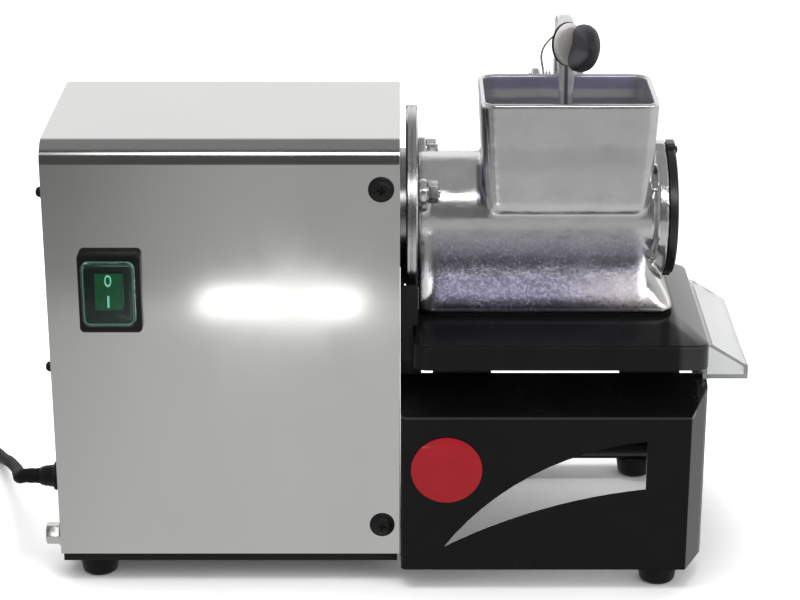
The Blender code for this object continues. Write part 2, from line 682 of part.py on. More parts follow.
def lofted(bm, sections, axis):
    """A closed solid through sections, each an outline and its place along the axis."""
    rings = [add_ring(bm, outline, axis, along) for outline, along in sections]
    for first, second in zip(rings, rings[1:]):
        bridge(bm, first, second)
    bm.faces.new(rings[0])
    bm.faces.new(rings[-1])


def prism(bm, outline, axis, start, end):
    lofted(bm, [(outline, start), (outline, end)], axis)


def tube(bm, outer, inner, axis, start, end):
    """A prism with a hole through it, both outlines with as many points."""
    rings = [
        add_ring(bm, outer, axis, start),
        add_ring(bm, outer, axis, end),
        add_ring(bm, inner, axis, end),
        add_ring(bm, inner, axis, start),
    ]
    for index in range(4):
        bridge(bm, rings[index - 1], rings[index])


def turned(bm, profile, axis, centre, sides, hollow=False):
    """A solid of revolution from (along, radius) pairs, joined up to a ring where it is hollow."""
    loops = []
    for along, radius in profile:
        if radius == 0:
            loops.append([bm.verts.new(place(*centre, along, axis))])
        else:
            loops.append(add_ring(bm, circle(*centre, radius, sides), axis, along))
    following = loops[1:] + (loops[:1] if hollow else [])
    for first, second in zip(loops, following):
        if len(first) == 1:
            first, second = second, first
        if len(second) > 1:
            bridge(bm, first, second)
            continue
        for index in range(len(first)):
            bm.faces.new((first[index - 1], first[index], second[0]))
    if not hollow:
        for loop in (loops[0], loops[-1]):
            if len(loop) > 1:
                bm.faces.new(loop)


def gear_outline(teeth, centre, first_angle):
    """Straight-flanked teeth, thinner than half their pitch, so that the pair runs with backlash."""
    pitch_radius = MODULE * teeth / 2
    root = pitch_radius - 1.25 * MODULE
    tip = pitch_radius + MODULE
    pitch = 2 * math.pi / teeth
    half_root = pitch * TOOTH_SHARE * 0.75
    half_tip = pitch * TIP_SHARE / 2
    points = []
    for tooth in range(teeth):
        middle = first_angle + pitch * tooth
        for angle, radius in (
            (middle - half_root, root),
            (middle - half_tip, tip),
            (middle + half_tip, tip),
            (middle + half_root, root),
        ):
            points.append((centre[0] + radius * math.cos(angle), centre[1] + radius * math.sin(angle)))
    return points


def make(name, bm, material, origin=(0, 0, 0), parent=None):
    """Turns a bmesh in machine places into an object whose origin is at the given place."""
    bmesh.ops.recalc_face_normals(bm, faces=bm.faces)
    mesh = bpy.data.meshes.new(name)
    bm.to_mesh(mesh)
    bm.free()
    mesh.transform(Matrix.Translation(-Vector(origin)))
    if material:
        mesh.materials.append(material)
    mesh.shade_smooth()
    mesh.set_sharp_from_angle(angle=math.radians(32))
    obj = bpy.data.objects.new(name, mesh)
    bpy.context.scene.collection.objects.link(obj)
    return placed(obj, origin, parent)


def placed(obj, origin=(0, 0, 0), parent=None):
    """Hangs an object on the empty of its joint, or on the machine itself."""
    obj.parent = parent or bpy.data.objects["machine_frame"]
    obj.location = Vector(origin) - (parent.location if parent else Vector())
    return obj


def helper(name, bm):
    """A shape that only joins or cuts another."""
    obj = make(name, bm, None)
    obj.hide_render = True
    obj.display_type = "WIRE"
    return obj


def combine(target, tool, operation):
    modifier = target.modifiers.new(tool.name, "BOOLEAN")
    modifier.operation = operation
    modifier.solver = "EXACT"
    modifier.object = tool


def cut(target, tool):
    combine(target, tool, "DIFFERENCE")


def join(target, tool):
    combine(target, tool, "UNION")


def axis_empty(name, where):
    """An empty on a joint's axis, which carries what turns or slides there."""
    empty = bpy.data.objects.new(name, None)
    bpy.context.scene.collection.objects.link(empty)
    empty.parent = bpy.data.objects["machine_frame"]
    empty.location = where
    return empty


def bored(target, name, centre, radius, axis, start, end, sides=MID_SIDES):
    """Cuts a round hole through the target."""
    bm = bmesh.new()
    prism(bm, circle(*centre, radius, sides), axis, start, end)
    cut(target, helper(name, bm))


def cup(bm, outer, inner, axis):
    """A shell open at its first ring, from the sections of its outside and of its inside."""
    outside = [add_ring(bm, outline, axis, along) for outline, along in outer]
    inside = [add_ring(bm, outline, axis, along) for outline, along in inner]
    for rings in (outside, inside):
        for first, second in zip(rings, rings[1:]):
            bridge(bm, first, second)
        bm.faces.new(rings[-1])
    bridge(bm, outside[0], inside[0])


def hull_of_circles(high, high_radius, low, low_radius, sides):
    """The outline round a large circle and a smaller one straight below it."""
    lean = math.asin((high_radius - low_radius) / (high[1] - low[1]))
    points = []
    for centre, radius, start, end in (
        (high, high_radius, -lean, math.pi + lean),
        (low, low_radius, math.pi + lean, 2 * math.pi - lean),
    ):
        for step in range(sides + 1):
            angle = start + (end - start) * step / sides
            points.append((centre[0] + radius * math.cos(angle), centre[1] + radius * math.sin(angle)))
    return points


def wire(name, points, radius, resolution, material):
    """A round wire or cord along the points, closed at both ends."""
    curve = bpy.data.curves.new(name, "CURVE")
    curve.dimensions = "3D"
    curve.bevel_depth = radius
    curve.bevel_resolution = resolution
    curve.use_fill_caps = True
    spline = curve.splines.new("POLY")
    spline.points.add(len(points) - 1)
    for point, where in zip(spline.points, points):
        point.co = (*where, 1.0)
    curve.materials.append(material)
    obj = bpy.data.objects.new(name, curve)
    bpy.context.scene.collection.objects.link(obj)
    return placed(obj)


def smooth_path(route, spacing):
    """Points at an even spacing on a smooth curve through the route's points."""
    places = [Vector(where) for where in route]
    ends = [2 * places[0] - places[1], *places, 2 * places[-1] - places[-2]]
    fine = []
    shares = [step / COIL_POINTS for step in range(COIL_POINTS)]
    for before, start, end, after in zip(ends, ends[1:], ends[2:], ends[3:]):
        for share in shares:
            fine.append(
                (
                    2 * start
                    + (end - before) * share
                    + (2 * before - 5 * start + 4 * end - after) * share**2
                    + (3 * start - before - 3 * end + after) * share**3
                )
                / 2
            )
    fine.append(places[-1])
    reach = [0]
    for first, second in zip(fine, fine[1:]):
        reach.append(reach[-1] + (second - first).length)
    count = max(2, round(reach[-1] / spacing))
    points = []
    index = 0
    for step in range(count + 1):
        target = reach[-1] * step / count
        while index < len(fine) - 2 and reach[index + 1] < target:
            index += 1
        share = (target - reach[index]) / (reach[index + 1] - reach[index])
        points.append(fine[index].lerp(fine[index + 1], share))
    return points


# The motor box


def motor_cover():
    """A folded stainless cover, open below and to the right."""
    radii = (0, 0, COVER_BEND, COVER_BEND)
    corners = (
        (0, COVER_LOW),
        (COVER_DEPTH, COVER_LOW),
        (COVER_DEPTH, COVER_TOP),
        (0, COVER_TOP),
    )
    bm = bmesh.new()
    prism(bm, rounded(corners, radii, 6), "X", -COVER_LENGTH, 0)
    cover = make("motor_cover", bm, stainless())
    inner = (
        (COVER_WALL, COVER_LOW - OVERRUN),
        (COVER_DEPTH - COVER_WALL, COVER_LOW - OVERRUN),
        (COVER_DEPTH - COVER_WALL, COVER_TOP - COVER_WALL),
        (COVER_WALL, COVER_TOP - COVER_WALL),
    )
    bend = COVER_BEND - COVER_WALL
    bm = bmesh.new()
    prism(bm, rounded(inner, (0, 0, bend, bend), 6), "X", -COVER_LENGTH + COVER_WALL, OVERRUN)
    cut(cover, helper("cover_hollow", bm))
    bm = bmesh.new()
    for height in front_screw_heights():
        hole = circle(-SCREW_FROM_RIGHT, height, SCREW_SHANK + CLEARANCE, MID_SIDES)
        prism(bm, hole, "Y", -OVERRUN, COVER_WALL + OVERRUN)
    prism(bm, switch_window(), "Y", -OVERRUN, COVER_WALL + OVERRUN)
    rear = COVER_DEPTH - COVER_WALL
    for slot in range(VENT_COUNT):
        low = COVER_LOW + VENT_HEIGHT + VENT_PITCH * slot
        middle = -COVER_LENGTH + VENT_FROM_LEFT
        vent = rectangle(
            middle - VENT_LENGTH / 2, middle + VENT_LENGTH / 2, low, low + VENT_WIDTH
        )
        prism(bm, vent, "Y", rear - OVERRUN, COVER_DEPTH + OVERRUN)
    cut(cover, helper("cover_front_and_rear_holes", bm))
    bm = bmesh.new()
    holes = [(GLAND_Y, GLAND_Z, GLAND_THREAD_RADIUS), (EARTH_Y, EARTH_Z, EARTH_SHANK)]
    for across, up, radius in holes:
        outline = circle(across, up, radius + CLEARANCE, MID_SIDES)
        prism(bm, outline, "X", -COVER_LENGTH - OVERRUN, -COVER_LENGTH + COVER_WALL + OVERRUN)
    cut(cover, helper("cover_left_holes", bm))


def front_screw_heights():
    return (COVER_TOP - SCREW_FROM_TOP, COVER_LOW + SCREW_FROM_LOW)


def base_pan():
    """A shallow tray that closes the box below, inside the cover's lower edge."""
    left = -COVER_LENGTH + INSIDE
    right = -END_SETBACK
    rear = COVER_DEPTH - INSIDE
    bm = bmesh.new()
    outer = rectangle(left, right, INSIDE, rear)
    sheet = PAN_SHEET
    inner = rectangle(left + sheet, right - sheet, INSIDE + sheet, rear - sheet)
    cup(
        bm,
        [(outer, PAN_TOP), (outer, FOOT_HEIGHT)],
        [(inner, PAN_TOP), (inner, FOOT_HEIGHT + sheet)],
        "Z",
    )
    pan = make("base_pan", bm, black_paint())
    bored(
        pan,
        "pan_earth_hole",
        (EARTH_Y, EARTH_Z),
        EARTH_SHANK + CLEARANCE,
        "X",
        left - OVERRUN,
        left + sheet + OVERRUN,
    )


def housing_end_plate():
    """A flanged plate that stands on the pan and closes the box on the right."""
    low = PAN_TOP + CLEARANCE
    bend = COVER_BEND - INSIDE
    corners = (
        (INSIDE, low),
        (COVER_DEPTH - INSIDE, low),
        (COVER_DEPTH - INSIDE, COVER_TOP - INSIDE),
        (INSIDE, COVER_TOP - INSIDE),
    )
    sheet = END_SHEET
    inner = (
        (INSIDE + sheet, low + sheet),
        (COVER_DEPTH - INSIDE - sheet, low + sheet),
        (COVER_DEPTH - INSIDE - sheet, COVER_TOP - INSIDE - sheet),
        (INSIDE + sheet, COVER_TOP - INSIDE - sheet),
    )
    outside = rounded(corners, (sheet, sheet, bend, bend))
    inside = rounded(inner, (sheet / 2, sheet / 2, bend - sheet, bend - sheet))
    rim = -END_SETBACK - sheet - END_FLANGE
    bm = bmesh.new()
    cup(bm, [(outside, rim), (outside, -END_SETBACK)], [(inside, rim), (inside, END_LEFT)], "X")
    plate = make("housing_end_plate", bm, black_paint())
    bored(
        plate,
        "end_plate_shaft_hole",
        AXIS,
        SHAFT_RADIUS + RUNNING_GAP,
        "X",
        END_LEFT - OVERRUN,
        OVERRUN,
    )
    bm = bmesh.new()
    for height in front_screw_heights():
        hole = circle(-SCREW_FROM_RIGHT, height, SCREW_SHANK + CLEARANCE, MID_SIDES)
        prism(bm, hole, "Y", INSIDE - OVERRUN, INSIDE + sheet + OVERRUN)
    cut(plate, helper("end_plate_screw_holes", bm))


def feet():
    """Round rubber feet, narrowed towards the table."""
    places = {
        "foot_front_left": (-COVER_LENGTH + MOTOR_FOOT_INSET_X, MOTOR_FOOT_INSET_Y),
        "foot_rear_left": (-COVER_LENGTH + MOTOR_FOOT_INSET_X, COVER_DEPTH - MOTOR_FOOT_INSET_Y),
        "foot_front_right": (BASE_RIGHT - BASE_FOOT_INSET_X, BASE_FRONT + BASE_FOOT_FROM_FRONT),
        "foot_rear_right": (BASE_RIGHT - BASE_FOOT_INSET_X, BASE_REAR - BASE_FOOT_FROM_REAR),
    }
    low = FOOT_RADIUS - FOOT_TAPER
    turn = math.sin(math.pi / 4)
    profile = (
        (FOOT_HEIGHT - CLEARANCE, FOOT_RADIUS),
        (FOOT_ROUND, low),
        (FOOT_ROUND * (1 - turn), low - FOOT_ROUND * (1 - turn)),
        (0, low - FOOT_ROUND),
    )
    for name, (x, y) in places.items():
        bm = bmesh.new()
        turned(bm, profile, "Z", (x, y), MID_SIDES)
        make(name, bm, black_rubber(), (x, y, 0))


def screw_profile(outward, face, shank, length, head, height, recess):
    """The profile of a domed screw whose head stands on a face and points outward along an axis."""
    seat = face + outward * CLEARANCE
    tip = face - outward * length
    return (
        (tip, 0),
        (tip, shank),
        (seat, shank),
        (seat, head),
        (seat + outward * height * 0.4, head),
        (seat + outward * height * 0.55, head * 0.82),
        (seat + outward * height * 0.9, head * 0.62),
        (seat + outward * height, head * 0.42),
        (seat + outward * height, recess),
        (seat + outward * height * 0.45, recess),
        (seat + outward * height * 0.45, 0),
    )


def cover_screws():
    profile = screw_profile(
        -1, 0, SCREW_SHANK, SCREW_LENGTH, SCREW_RADIUS, SCREW_HEIGHT, SCREW_RECESS_RADIUS
    )
    names = ("cover_screw_high", "cover_screw_low")
    for name, height in zip(names, front_screw_heights()):
        bm = bmesh.new()
        turned(bm, profile, "Y", (-SCREW_FROM_RIGHT, height), MID_SIDES)
        make(name, bm, black_paint(), (-SCREW_FROM_RIGHT, 0, height))


def cable_gland():
    centre = (GLAND_Y, GLAND_Z)
    seat = -COVER_LENGTH - CLEARANCE
    collar = seat - GLAND_COLLAR_LENGTH
    inner = -COVER_LENGTH + COVER_WALL + GLAND_THREAD_LENGTH
    profile = (
        (inner, 0),
        (inner, GLAND_THREAD_RADIUS),
        (seat, GLAND_THREAD_RADIUS),
        (seat, GLAND_COLLAR_RADIUS),
        (collar, GLAND_COLLAR_RADIUS),
        (collar, GLAND_NOSE_RADIUS),
        (GLAND_MOUTH, GLAND_NOSE_TIP_RADIUS),
        (GLAND_MOUTH, 0),
    )
    bm = bmesh.new()
    turned(bm, profile, "X", centre, MID_SIDES)
    make("cable_gland", bm, black_plastic(), (seat, *centre))
    start = -COVER_LENGTH + INSIDE
    bm = bmesh.new()
    inside = GLAND_THREAD_RADIUS + CLEARANCE
    profile = (
        (start, inside),
        (start, GLAND_NUT_RADIUS),
        (start + GLAND_NUT_LENGTH, GLAND_NUT_RADIUS),
        (start + GLAND_NUT_LENGTH, inside),
    )
    turned(bm, profile, "X", centre, MID_SIDES, True)
    make("gland_nut", bm, black_plastic(), (start, *centre))


def earth_bolt():
    centre = (EARTH_Y, EARTH_Z)
    washer_right = -COVER_LENGTH - CLEARANCE
    washer_left = washer_right - EARTH_WASHER
    bm = bmesh.new()
    inside = EARTH_SHANK + CLEARANCE
    profile = (
        (washer_right, inside),
        (washer_right, EARTH_WASHER_RADIUS),
        (washer_left, EARTH_WASHER_RADIUS),
        (washer_left, inside),
    )
    turned(bm, profile, "X", centre, MID_SIDES, True)
    make("earth_washer", bm, zinc(), (washer_right, *centre))
    head_right = washer_left - CLEARANCE
    bm = bmesh.new()
    prism(bm, hexagon(*centre, EARTH_FLATS), "X", head_right - EARTH_HEAD, head_right)
    bolt = make("earth_bolt", bm, zinc(), (head_right, *centre))
    bm = bmesh.new()
    tip = head_right + EARTH_LENGTH
    prism(bm, circle(*centre, EARTH_SHANK, SMALL_SIDES), "X", head_right - EARTH_HEAD / 2, tip)
    join(bolt, helper("earth_bolt_shank", bm))


# The switch


def switch_window():
    across = ROCKER_WIDTH / 2 + RUNNING_GAP
    up = ROCKER_HEIGHT / 2 + ROCKER_PLAY
    return rectangle(SWITCH_X - across, SWITCH_X + across, SWITCH_Z - up, SWITCH_Z + up)


def switch_outline(inset, radius):
    across = SWITCH_WIDTH / 2 - inset
    up = SWITCH_HEIGHT / 2 - inset
    return rectangle(
        SWITCH_X - across, SWITCH_X + across, SWITCH_Z - up, SWITCH_Z + up, radius
    )


def boot_outline(inset):
    across = SWITCH_WIDTH / 2 - BOOT_RIM - inset
    up = SWITCH_HEIGHT / 2 - SWITCH_FLARE - BOOT_RIM - inset
    round_ = max(BOOT_ROUND - inset, CLEARANCE)
    return rectangle(
        SWITCH_X - across, SWITCH_X + across, SWITCH_Z - up, SWITCH_Z + up, round_
    )


def switch():
    """A rocker under a clear boot in a bevelled frame, with its body behind the panel."""
    bm = bmesh.new()
    bevel = SWITCH_DEPTH / 5
    sections = [
        (switch_outline(0, SWITCH_ROUND), -CLEARANCE),
        (switch_outline(0, SWITCH_ROUND), -CLEARANCE - bevel),
        (switch_outline(bevel / 2, SWITCH_ROUND), SWITCH_FACE + bevel / 2),
        (switch_outline(bevel, SWITCH_ROUND), SWITCH_FACE),
    ]
    lofted(bm, sections, "Y")
    frame = make("switch_frame", bm, black_plastic(), (SWITCH_X, 0, SWITCH_Z))
    bm = bmesh.new()
    prism(bm, switch_window(), "Y", SWITCH_FACE - OVERRUN, OVERRUN)
    cut(frame, helper("switch_frame_window", bm))
    base = SWITCH_FACE - CLEARANCE
    face = base - BOOT_HEIGHT
    outer = [
        (boot_outline(0), base),
        (boot_outline(BOOT_DOME * 0.1), base - BOOT_HEIGHT * 0.45),
        (boot_outline(BOOT_DOME * 0.4), base - BOOT_HEIGHT * 0.8),
        (boot_outline(BOOT_DOME), face),
    ]
    wall = BOOT_WALL
    inner = [
        (boot_outline(wall), base),
        (boot_outline(wall + BOOT_DOME * 0.1), base - BOOT_HEIGHT * 0.4),
        (boot_outline(wall + BOOT_DOME * 0.3), base - BOOT_HEIGHT * 0.6),
        (boot_outline(wall + BOOT_DOME * 0.6), face + wall),
    ]
    bm = bmesh.new()
    cup(bm, outer, inner, "Y")
    make("switch_boot", bm, clear_plastic(), (SWITCH_X, 0, SWITCH_Z))
    inside = COVER_WALL + CLEARANCE
    back = inside + SWITCH_BODY_DEPTH
    across = SWITCH_BODY_WIDTH / 2
    up = SWITCH_BODY_HEIGHT / 2
    body_outline = rectangle(
        SWITCH_X - across, SWITCH_X + across, SWITCH_Z - up, SWITCH_Z + up
    )
    bm = bmesh.new()
    pocket = inside + SWITCH_POCKET
    window = switch_window()
    cup(bm, [(body_outline, inside), (body_outline, back)], [(window, inside), (window, pocket)], "Y")
    body = make("switch_body", bm, black_plastic(), (SWITCH_X, 0, SWITCH_Z))
    pivot = (ROCKER_PIVOT_Y, SWITCH_Z)
    reach = ROCKER_WIDTH / 2 + ROCKER_PIVOT_LENGTH
    bored(
        body,
        "switch_pivot_holes",
        pivot,
        ROCKER_PIVOT_RADIUS + CLEARANCE,
        "X",
        SWITCH_X - reach - CLEARANCE,
        SWITCH_X + reach + CLEARANCE,
        SMALL_SIDES,
    )
    for side in (-1, 1):
        bm = bmesh.new()
        middle = SWITCH_Z + side * SWITCH_BODY_HEIGHT / 4
        blade = rectangle(
            SWITCH_X - TERMINAL_WIDTH / 2,
            SWITCH_X + TERMINAL_WIDTH / 2,
            middle - TERMINAL_THICK / 2,
            middle + TERMINAL_THICK / 2,
        )
        prism(bm, blade, "Y", back - OVERRUN, back + TERMINAL_LENGTH)
        join(body, helper(f"switch_terminal_{side}", bm))
    half = ROCKER_HEIGHT / 2
    waist = half * 0.55
    outline = (
        (-ROCKER_PROUD, SWITCH_Z - half),
        (-ROCKER_PROUD + ROCKER_VALLEY, SWITCH_Z),
        (-ROCKER_PROUD, SWITCH_Z + half),
        (-ROCKER_PIVOT_Y, SWITCH_Z + half),
        (ROCKER_BACK, SWITCH_Z + waist),
        (ROCKER_BACK, SWITCH_Z - waist),
        (-ROCKER_PIVOT_Y, SWITCH_Z - half),
    )
    bm = bmesh.new()
    prism(bm, outline, "X", SWITCH_X - ROCKER_WIDTH / 2, SWITCH_X + ROCKER_WIDTH / 2)
    hinge = Vector((SWITCH_X, ROCKER_PIVOT_Y, SWITCH_Z))
    tilt = Matrix.Rotation(math.radians(ROCKER_TILT), 3, "X")
    bmesh.ops.rotate(bm, cent=hinge, matrix=tilt, verts=bm.verts)
    rocker = make("switch_rocker", bm, green_plastic(), hinge)
    bm = bmesh.new()
    prism(
        bm,
        circle(*pivot, ROCKER_PIVOT_RADIUS, SMALL_SIDES),
        "X",
        SWITCH_X - reach,
        SWITCH_X + reach,
    )
    join(rocker, helper("switch_rocker_pivots", bm))


# The motor and the gears


def gearbox_case():
    wall = CASE_WALL
    outer = hull_of_circles(AXIS, CASE_RADIUS, MOTOR, CASE_LOW_RADIUS, CASE_ARC_STEPS)
    inner = hull_of_circles(
        AXIS, CASE_RADIUS - wall, MOTOR, CASE_LOW_RADIUS - wall, CASE_ARC_STEPS
    )
    bm = bmesh.new()
    floor = CASE_LEFT + wall
    cup(bm, [(outer, CASE_RIGHT), (outer, CASE_LEFT)], [(inner, CASE_RIGHT), (inner, floor)], "X")
    case = make("gearbox_case", bm, cast_aluminium())
    bm = bmesh.new()
    for centre, radius in ((AXIS, SHAFT_RADIUS), (MOTOR, MOTOR_SHAFT_RADIUS)):
        hole = circle(*centre, radius + CLEARANCE, MID_SIDES)
        prism(bm, hole, "X", CASE_LEFT - OVERRUN, floor + OVERRUN)
    cut(case, helper("gearbox_shaft_holes", bm))


def gears(drum_axis, motor_axis):
    """The pinion's gap meets the large gear's lowest tooth on the line between their centres."""
    down = -math.pi / 2
    bm = bmesh.new()
    outline = gear_outline(GEAR_TEETH, AXIS, down)
    prism(bm, outline, "X", GEAR_LEFT, GEAR_LEFT + GEAR_WIDTH)
    gear = make("drum_gear", bm, machined_steel(), drum_axis.location, drum_axis)
    bored(
        gear,
        "drum_gear_bore",
        AXIS,
        SHAFT_RADIUS + CLEARANCE,
        "X",
        GEAR_LEFT - OVERRUN,
        GEAR_LEFT + GEAR_WIDTH + OVERRUN,
    )
    bm = bmesh.new()
    outline = gear_outline(PINION_TEETH, MOTOR, -down + math.pi / PINION_TEETH)
    prism(bm, outline, "X", PINION_LEFT, PINION_LEFT + PINION_WIDTH)
    pinion = make("motor_pinion", bm, machined_steel(), motor_axis.location, motor_axis)
    bored(
        pinion,
        "motor_pinion_bore",
        MOTOR,
        MOTOR_SHAFT_RADIUS + CLEARANCE,
        "X",
        PINION_LEFT - OVERRUN,
        PINION_LEFT + PINION_WIDTH + OVERRUN,
    )


def motor(motor_axis):
    """A fan-cooled motor: a frame with its stator, the rotor on its shaft, and the fan behind."""
    right = CASE_LEFT - CLEARANCE
    inside = STATOR_RADIUS + CLEARANCE
    profile = (
        (right, inside),
        (right, FRAME_RADIUS),
        (FRAME_LEFT, FRAME_RADIUS),
        (FRAME_LEFT, inside),
    )
    bm = bmesh.new()
    turned(bm, profile, "X", MOTOR, BIG_SIDES, True)
    make("motor_frame", bm, cast_aluminium())
    steps = STATOR_SLOTS * 4
    bore = []
    for step in range(steps):
        angle = 2 * math.pi * (step + 0.5) / steps
        deep = step % 4 in (0, 1)
        radius = STATOR_BORE + (STATOR_SLOT_DEPTH if deep else 0)
        bore.append((MOTOR[0] + radius * math.cos(angle), MOTOR[1] + radius * math.sin(angle)))
    rim = []
    for step in range(steps):
        angle = 2 * math.pi * (step + 0.5) / steps
        rim.append(
            (MOTOR[0] + STATOR_RADIUS * math.cos(angle), MOTOR[1] + STATOR_RADIUS * math.sin(angle))
        )
    bm = bmesh.new()
    tube(bm, rim, bore, "X", STACK_LEFT, STACK_RIGHT)
    make("motor_stator", bm, machined_steel())
    for name, near, outward in (
        ("stator_winding_right", STACK_RIGHT, 1),
        ("stator_winding_left", STACK_LEFT, -1),
    ):
        start = near + outward * CLEARANCE
        end = start + outward * WINDING_LENGTH
        ease = (WINDING_OUTER - WINDING_INNER) / 4
        profile = (
            (start, WINDING_INNER),
            (start, WINDING_OUTER),
            (end - outward * ease, WINDING_OUTER),
            (end, WINDING_OUTER - ease),
            (end, WINDING_INNER + ease),
            (end - outward * ease, WINDING_INNER),
        )
        bm = bmesh.new()
        turned(bm, profile, "X", MOTOR, MID_SIDES, True)
        make(name, bm, copper())
    shield = FRAME_LEFT - CLEARANCE
    boss = SHIELD_LEFT - MOTOR_BOSS_LENGTH
    bearing = MOTOR_SHAFT_RADIUS + CLEARANCE
    profile = (
        (shield, bearing),
        (shield, FRAME_RADIUS),
        (SHIELD_LEFT, FRAME_RADIUS),
        (SHIELD_LEFT, MOTOR_BOSS_RADIUS),
        (boss, MOTOR_BOSS_RADIUS),
        (boss, bearing),
    )
    bm = bmesh.new()
    turned(bm, profile, "X", MOTOR, MID_SIDES, True)
    make("motor_end_shield", bm, cast_aluminium())
    tip = PINION_LEFT + PINION_WIDTH + MOTOR_SHAFT_PROUD
    tail = FAN_LEFT - MOTOR_SHAFT_PROUD
    profile = (
        (tail, 0),
        (tail, MOTOR_SHAFT_RADIUS),
        (STACK_LEFT, MOTOR_SHAFT_RADIUS),
        (STACK_LEFT, ROTOR_RADIUS),
        (STACK_RIGHT, ROTOR_RADIUS),
        (STACK_RIGHT, MOTOR_SHAFT_RADIUS),
        (tip, MOTOR_SHAFT_RADIUS),
        (tip, 0),
    )
    bm = bmesh.new()
    turned(bm, profile, "X", MOTOR, MID_SIDES)
    make("motor_rotor", bm, machined_steel(), motor_axis.location, motor_axis)
    bm = bmesh.new()
    disc_left = FAN_RIGHT - FAN_DISC
    prism(bm, circle(*MOTOR, FAN_RADIUS, BIG_SIDES), "X", disc_left, FAN_RIGHT)
    fan = make("cooling_fan", bm, black_plastic(), motor_axis.location, motor_axis)
    star = []
    for blade in range(FAN_BLADES):
        middle = 2 * math.pi * blade / FAN_BLADES
        half = 2 * math.pi / FAN_BLADES * FAN_BLADE_SHARE
        thin = half * FAN_HUB_RADIUS / FAN_RADIUS
        tip_radius = FAN_RADIUS - FAN_BLADE_INSET
        for angle, radius in (
            (middle - half, FAN_HUB_RADIUS),
            (middle - thin, tip_radius),
            (middle + thin, tip_radius),
            (middle + half, FAN_HUB_RADIUS),
        ):
            star.append((MOTOR[0] + radius * math.cos(angle), MOTOR[1] + radius * math.sin(angle)))
    bm = bmesh.new()
    prism(bm, star, "X", FAN_LEFT, disc_left + FAN_DISC / 2)
    join(fan, helper("fan_blades", bm))
    bored(
        fan,
        "fan_bore",
        MOTOR,
        MOTOR_SHAFT_RADIUS + CLEARANCE,
        "X",
        FAN_LEFT - OVERRUN,
        FAN_RIGHT + OVERRUN,
    )


def motor_cradle():
    """A channel that stands in the pan and carries the motor's frame."""
    middle = (STACK_LEFT + STACK_RIGHT) / 2
    left = middle - SADDLE_LENGTH / 2
    right = middle + SADDLE_LENGTH / 2
    sheet = SADDLE_SHEET
    rim = FRAME_RADIUS + CLEARANCE
    top = MOTOR_Z - math.sqrt(rim**2 - (SADDLE_WIDTH / 2) ** 2)
    under = MOTOR_Z - rim - sheet
    outline = (
        (left, PAN_FLOOR),
        (right, PAN_FLOOR),
        (right, PAN_FLOOR + sheet),
        (left + sheet, PAN_FLOOR + sheet),
        (left + sheet, under),
        (right, under),
        (right, top),
        (left, top),
    )
    bm = bmesh.new()
    prism(bm, outline, "Y", AXIS_Y - SADDLE_WIDTH / 2, AXIS_Y + SADDLE_WIDTH / 2)
    cradle = make("motor_cradle", bm, machined_steel())
    bored(cradle, "cradle_seat", MOTOR, rim, "X", left - OVERRUN, right + OVERRUN, BIG_SIDES)


def run_capacitor():
    edge = CAPACITOR_EDGE
    top = PAN_FLOOR + CAPACITOR_LENGTH
    profile = (
        (PAN_FLOOR, CAPACITOR_RADIUS - edge),
        (PAN_FLOOR + edge, CAPACITOR_RADIUS),
        (top - edge, CAPACITOR_RADIUS),
        (top, CAPACITOR_RADIUS - edge),
    )
    bm = bmesh.new()
    turned(bm, profile, "Z", (CAPACITOR_X, CAPACITOR_Y), MID_SIDES)
    make("run_capacitor", bm, cast_aluminium(), (CAPACITOR_X, CAPACITOR_Y, PAN_FLOOR))


# The drive flange, the shaft and the drum


def drive_flange():
    """An aluminium disc whose hub stands on the end plate and holds the shaft's bearing."""
    hub_left = -END_SETBACK + CLEARANCE
    seat = BEARING_RADIUS + CLEARANCE
    seat_right = hub_left + CLEARANCE + BEARING_WIDTH + CLEARANCE
    bore = SHAFT_RADIUS + RUNNING_GAP
    profile = (
        (hub_left, seat),
        (hub_left, FLANGE_HUB_RADIUS),
        (FLANGE_GAP, FLANGE_HUB_RADIUS),
        (FLANGE_GAP, FLANGE_RADIUS - FLANGE_CHAMFER),
        (FLANGE_GAP + FLANGE_CHAMFER, FLANGE_RADIUS),
        (FLANGE_RIGHT - FLANGE_CHAMFER, FLANGE_RADIUS),
        (FLANGE_RIGHT, FLANGE_RADIUS - FLANGE_CHAMFER),
        (FLANGE_RIGHT, bore),
        (seat_right, bore),
        (seat_right, seat),
    )
    bm = bmesh.new()
    turned(bm, profile, "X", AXIS, BIG_SIDES, True)
    flange = make("drive_flange", bm, cast_aluminium(), (0, *AXIS))
    bm = bmesh.new()
    for across, up in stud_places():
        hole = circle(across, up, STUD_RADIUS + CLEARANCE, SMALL_SIDES)
        prism(bm, hole, "X", FLANGE_RIGHT - STUD_BITE - CLEARANCE, FLANGE_RIGHT + OVERRUN)
    cut(flange, helper("flange_stud_holes", bm))
    left = hub_left + CLEARANCE
    inner = SHAFT_RADIUS + CLEARANCE
    profile = (
        (left, inner),
        (left, BEARING_RADIUS),
        (left + BEARING_WIDTH, BEARING_RADIUS),
        (left + BEARING_WIDTH, inner),
    )
    bm = bmesh.new()
    turned(bm, profile, "X", AXIS, MID_SIDES, True)
    make("shaft_bearing", bm, machined_steel(), (left, *AXIS))


def stud_places():
    places = []
    for degrees in STUD_ANGLES:
        angle = math.radians(degrees)
        across = AXIS_Y + STUD_CIRCLE * math.cos(angle)
        places.append((across, AXIS_Z + STUD_CIRCLE * math.sin(angle)))
    return places


